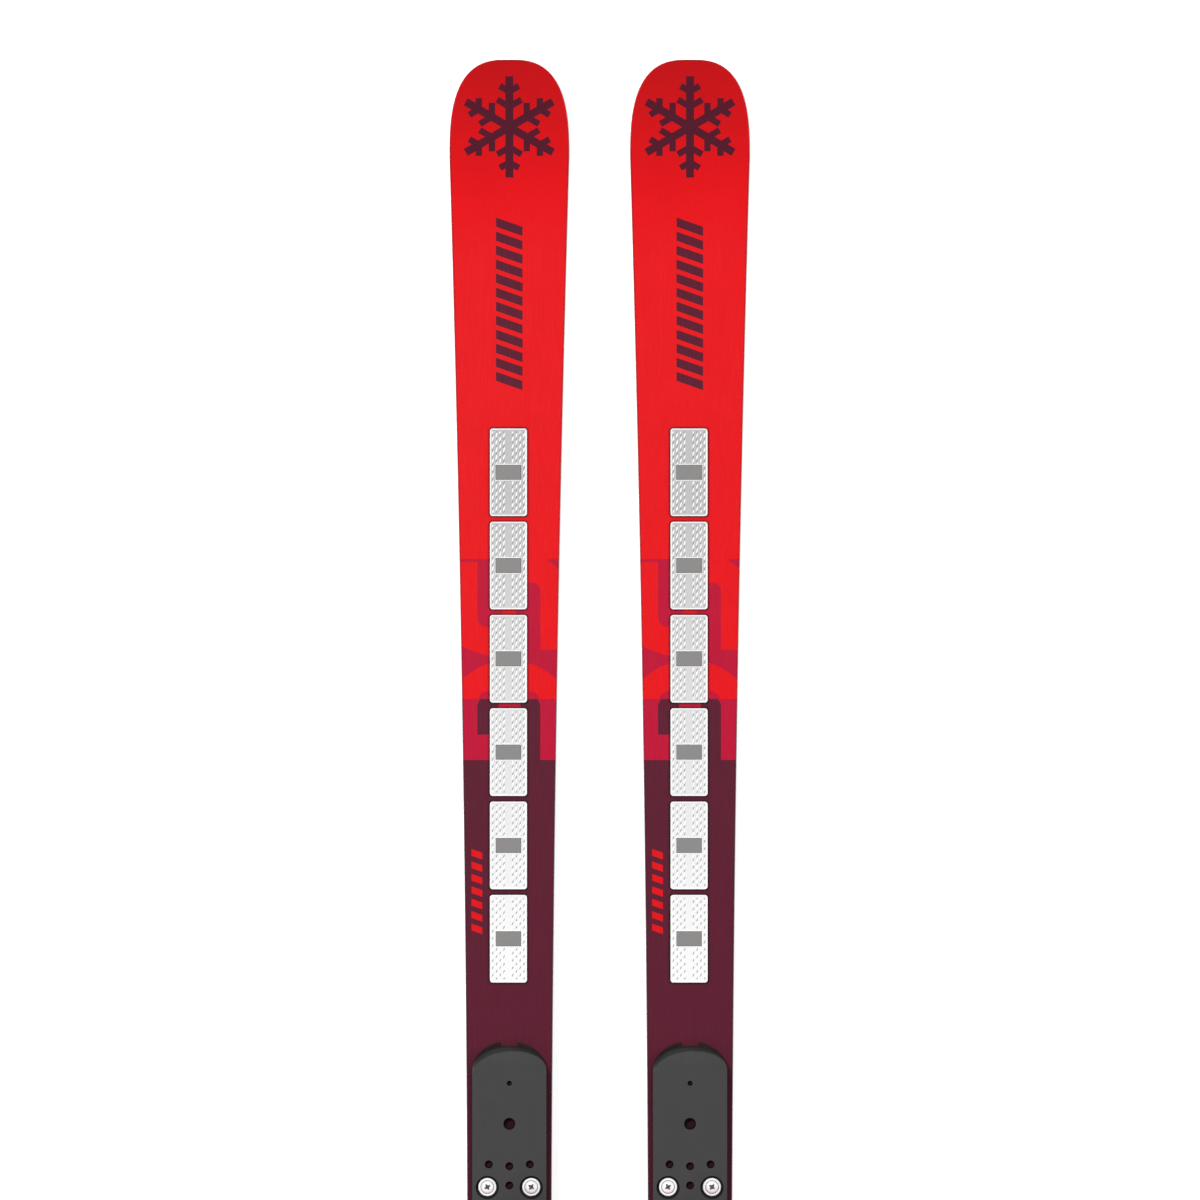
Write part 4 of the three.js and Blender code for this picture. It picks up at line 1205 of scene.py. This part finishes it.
def heel_shell():
    """The housing that tips up, with the heel cup at its front and the setting screw's bore behind."""
    side = [(1237, 50, 1.5), (1237, SOLE_HEIGHT, 1.5), (1251, 55), (1251, 84.5), (1240, 85.5, 2),
            (1241, 96, 4), (1256, 102, 6), (1284, 101, 3), (1292, 91), (1314, 84, 3), (1314, 66, 4),
            (1300, 52, 4), (1280, 47, 6), (1252, 50)]
    pins = [rod("x", s, z, r + CLEARANCE, -30, 30) for s, z, r in (HEEL_PIVOT, LEVER_PIVOT)]
    s, z = HEEL_SCREW
    bore = rod("s", 0, z, SCREW_BORE, s - 16, s + 10)
    hollow = rounded([(1260, 60, 3), (1262, 78, 3), (1284, 78, 3), (1278, 66, 2)])
    hollows = [across(hollow, *ends) for ends in both_sides(20.2, 30)]
    grooves = [box(-13, 13, s, s + 1.6, 83, 110) for s in (1297, 1302, 1307)]
    cup = box(-11, 11, 1245, 1257, 58, 80)
    return cut(across(rounded(side), -21, 21), *pins, bore, cup, *hollows, *grooves)


def heel_crown():
    """A ridged pad on top of the housing."""
    side = rounded([(1258, 98), (1258, 102.5, 1), (1283, 101.7, 1), (1283, 98)])
    crown = common(across(side, -13, 13), slab(rounded(mirrored([(13, 1258, 4), (11, 1283, 4)])), 90, 110))
    return cut(crown, *[box(-9, 9, s, s + 1.2, 101.6, 105) for s in range(1262, 1280, 3)])


def heel_handle():
    """The lever: two arms from the pin and a dished handle across them."""
    arm = rounded([(1264, 84, 6), (1266, 98, 6), (1296, 118), (1310, 119), (1308, 108), (1282, 86, 6)])
    side = rounded([(1291, 107, 1.5), (1290, 115, 3), (1306, 119, 4), (1352, 124.95, 2.5), (1354, 120, 2),
                    (1312, 112)])
    handle = common(across(side, -30, 30), slab(rounded(mirrored([(26, 1288), (25, 1356, 9)])), 90, 130))
    dish = across(rounded([(1318, 119.3, 3), (1342, 122.4, 3), (1342, 140), (1318, 140)]), -15, 15)
    return cut(fused(*[across(arm, *ends) for ends in both_sides(21.6, 26)], handle), dish)


def build_heel():
    piece("heel_rail", heel_rail(), TRACK, cad=["heel_track"], bevel=0.3)
    piece("heel_sled", heel_sled(), BLACK, "heel_carriage", ["heel_carriage"], bevel=0.6)
    pin = rod("x", *HEEL_PIVOT, -27.6, 27.6)
    piece("heel_pivot_pin", pin, ZINC, "heel_carriage", bevel=0.4)
    piece("heel_shell", heel_shell(), SHELL, "heel_housing", ["heel_housing"], bevel=0.8)
    piece("heel_crown_pad", heel_crown(), BLACK, "heel_housing", bevel=0.2)
    cup = box(-10.6, 10.6, 1249, 1256.5, 58.4, 79.6)
    piece("heel_cup_insert", cup, BLACK, "heel_housing", bevel=0.6)
    screw = moved(adjuster_mesh(), 0, *HEEL_SCREW, tilt=90)
    piece("heel_adjuster", screw, ZINC, "heel_setting_screw", ["heel_setting_screw"], bevel=0.15)
    piece("heel_lever_handle", heel_handle(), BLACK, "heel_lever", ["heel_lever"], bevel=0.8)
    caps = [rod("x", *LEVER_PIVOT[:2], 4.2, *ends) for ends in both_sides(25.5, 26.6)]
    piece("lever_pin_caps", joined(*caps), ZINC, "heel_lever", bevel=0.2)


# ---------------------------------------------------------------- brake

def brake_block():
    """The block that holds the pedal's pin between two ears and the arms' wire behind them."""
    side = [(1150, PLATE_TOP), (1150, 50, 3), (1154, 53, 2), (1163, 53, 3), (1167, 46), (1206, 46, 3),
            (1208, PLATE_TOP)]
    bores = [rod("x", s, z, r + CLEARANCE, -40, 40) for s, z, r in (BRAKE_PIVOT, PEDAL_PIVOT)]
    pockets = [box(*ends, 1172, 1184, 36, 43) for ends in both_sides(25.6, 30)]
    return cut(across(rounded(side), -27, 27), box(-21, 21, 1140, 1168, 44, 60), *bores, *pockets)


def brake_tread():
    """The pedal, with grooves for the sole."""
    tongue = across(rounded([(1154.5, 47), (1154.5, 52, 2), (1224, 53, 1.5), (1224, 48.5, 1.5)]), -20.5, 20.5)
    plate = slab(rounded(mirrored([(26, 1170, 3), (26, 1221, 6)])), 48.5, 52.5)
    return cut(fused(tongue, plate), *[box(-17, 17, s, s + 2, 51.8, 56) for s in range(1180, 1215, 5)])


def brake_shoe(sign):
    """A plastic shoe around the end of an arm, toothed on its outer side."""
    s, z, _ = BRAKE_PIVOT
    side = rounded([(s + 62, z - 1, 2), (s + 66, z + 10, 4), (s + 104, z + 13, 5), (s + 110, z + 6, 4),
                    (s + 100, z - 1, 4)])
    inner, outer = sign * (BRAKE_HALF_WIDTH - 4), sign * (BRAKE_HALF_WIDTH + 4)
    teeth = [box(outer - 0.9, outer + 0.9, s + 72 + k, s + 74 + k, z + 2, z + 10) for k in range(0, 30, 5)]
    return cut(across(side, *sorted((inner, outer))), *teeth)


def brake_spring(sign):
    """Six turns of thin wire around the arm's pivot, beside the block."""
    s, z, _ = BRAKE_PIVOT
    steps, length, radius, turn = 60, 4.4, 3.9, 0.63
    coil = []
    for k in range(steps + 1):
        x = sign * (28.6 + length * k / steps)
        coil.append((x, s + radius * math.cos(k * turn), z + radius * math.sin(k * turn)))
    return bent_rod(coil, 0.55, 8, 0.6, 1)


def build_brake():
    piece("brake_housing", brake_block(), GREY, cad=["brake_block"], bevel=0.6)
    piece("brake_tread", brake_tread(), BLACK, "brake_pedal", ["brake_pedal"], bevel=0.5)
    piece("pedal_pin", rod("x", *PEDAL_PIVOT, -26.5, 26.5), ZINC, "brake_pedal", bevel=0.3)
    s, z, r = BRAKE_PIVOT
    x = BRAKE_HALF_WIDTH
    right = [(34, s, z), (x, s, z), (x, s + 60, z + 4), (x, s + 92, z + 6)]
    wire = bent_rod(flipped(reversed(right), -1) + right, r)
    piece("brake_wire", wire, WIRE, "brake_arms", ["brake_arms"], angle=60)
    for name, sign in SIDES:
        piece(f"brake_shoe_{name}", brake_shoe(sign), SHELL, "brake_arms", bevel=0.9)
        piece(f"brake_spring_{name}", brake_spring(sign), WIRE, angle=60)


# ---------------------------------------------------------------- stage, light and camera

VIEW_WIDTH = 930  # of the floor across the picture
VIEW_MIDDLE = (0.25, 418.5)  # x, and distance behind the tips
LENS = 900
SENSOR = 36
FLOOR_REACH = 60  # metres from the middle to each side of the floor
FLOOR_LEVEL = -0.0006  # metres, just clear of the running bases


def build_stage():
    corners = ((-1, -1), (1, -1), (1, 1), (-1, 1))
    sheet = mesh_of([Vector((x * FLOOR_REACH, y * FLOOR_REACH, FLOOR_LEVEL)) for x, y in corners], [range(4)])
    floor = linked("floor", sheet)
    made = Surface("floor_paper", (0.9, 0.9, 0.9), 0.9, specular_ior_level=0.1)
    made.shader.inputs["Emission Color"].default_value = (1, 1, 1, 1)
    made.shader.inputs["Emission Strength"].default_value = 0.62
    floor.data.materials.append(made.material)


def softbox(name, position, target, size, power):
    lamp = bpy.data.lights.new(name, "AREA")
    lamp.shape = "RECTANGLE"
    lamp.size, lamp.size_y = size
    lamp.energy = power
    item = linked(name, lamp)
    item.visible_camera = False
    item.location = position
    item.rotation_euler = (Vector(target) - Vector(position)).to_track_quat("-Z", "Y").to_euler()


def build_light():
    world = bpy.data.worlds.new("studio")
    world.use_nodes = True
    world.node_tree.nodes["Background"].inputs["Color"].default_value = (1, 1, 1, 1)
    world.node_tree.nodes["Background"].inputs["Strength"].default_value = 0.3
    bpy.context.scene.world = world
    middle = (0, 0.1, 0)
    softbox("key", (-1.9, 2.3, 4.7), middle, (1.5, 1.1), 195)
    softbox("fill_right", (3.2, 0.5, 2.8), middle, (1.6, 2.6), 58)
    softbox("fill_back", (-2.4, -2.4, 3.0), middle, (1.6, 2.6), 30)
    bpy.context.scene.view_settings.view_transform = "Standard"


def build_camera():
    lens = bpy.data.cameras.new("camera")
    lens.lens = LENS
    lens.sensor_width = SENSOR
    lens.clip_end = 100
    camera = linked("camera", lens)
    x, s = VIEW_MIDDLE
    camera.location = place(x, s, DECK_HEIGHT - 4) + Vector((0, 0, VIEW_WIDTH * MM * LENS / SENSOR))
    bpy.context.scene.camera = camera


build_camera()
build_stage()
build_light()
build_ski()
build_dampers()
build_plates()
build_toe()
build_heel()
build_brake()
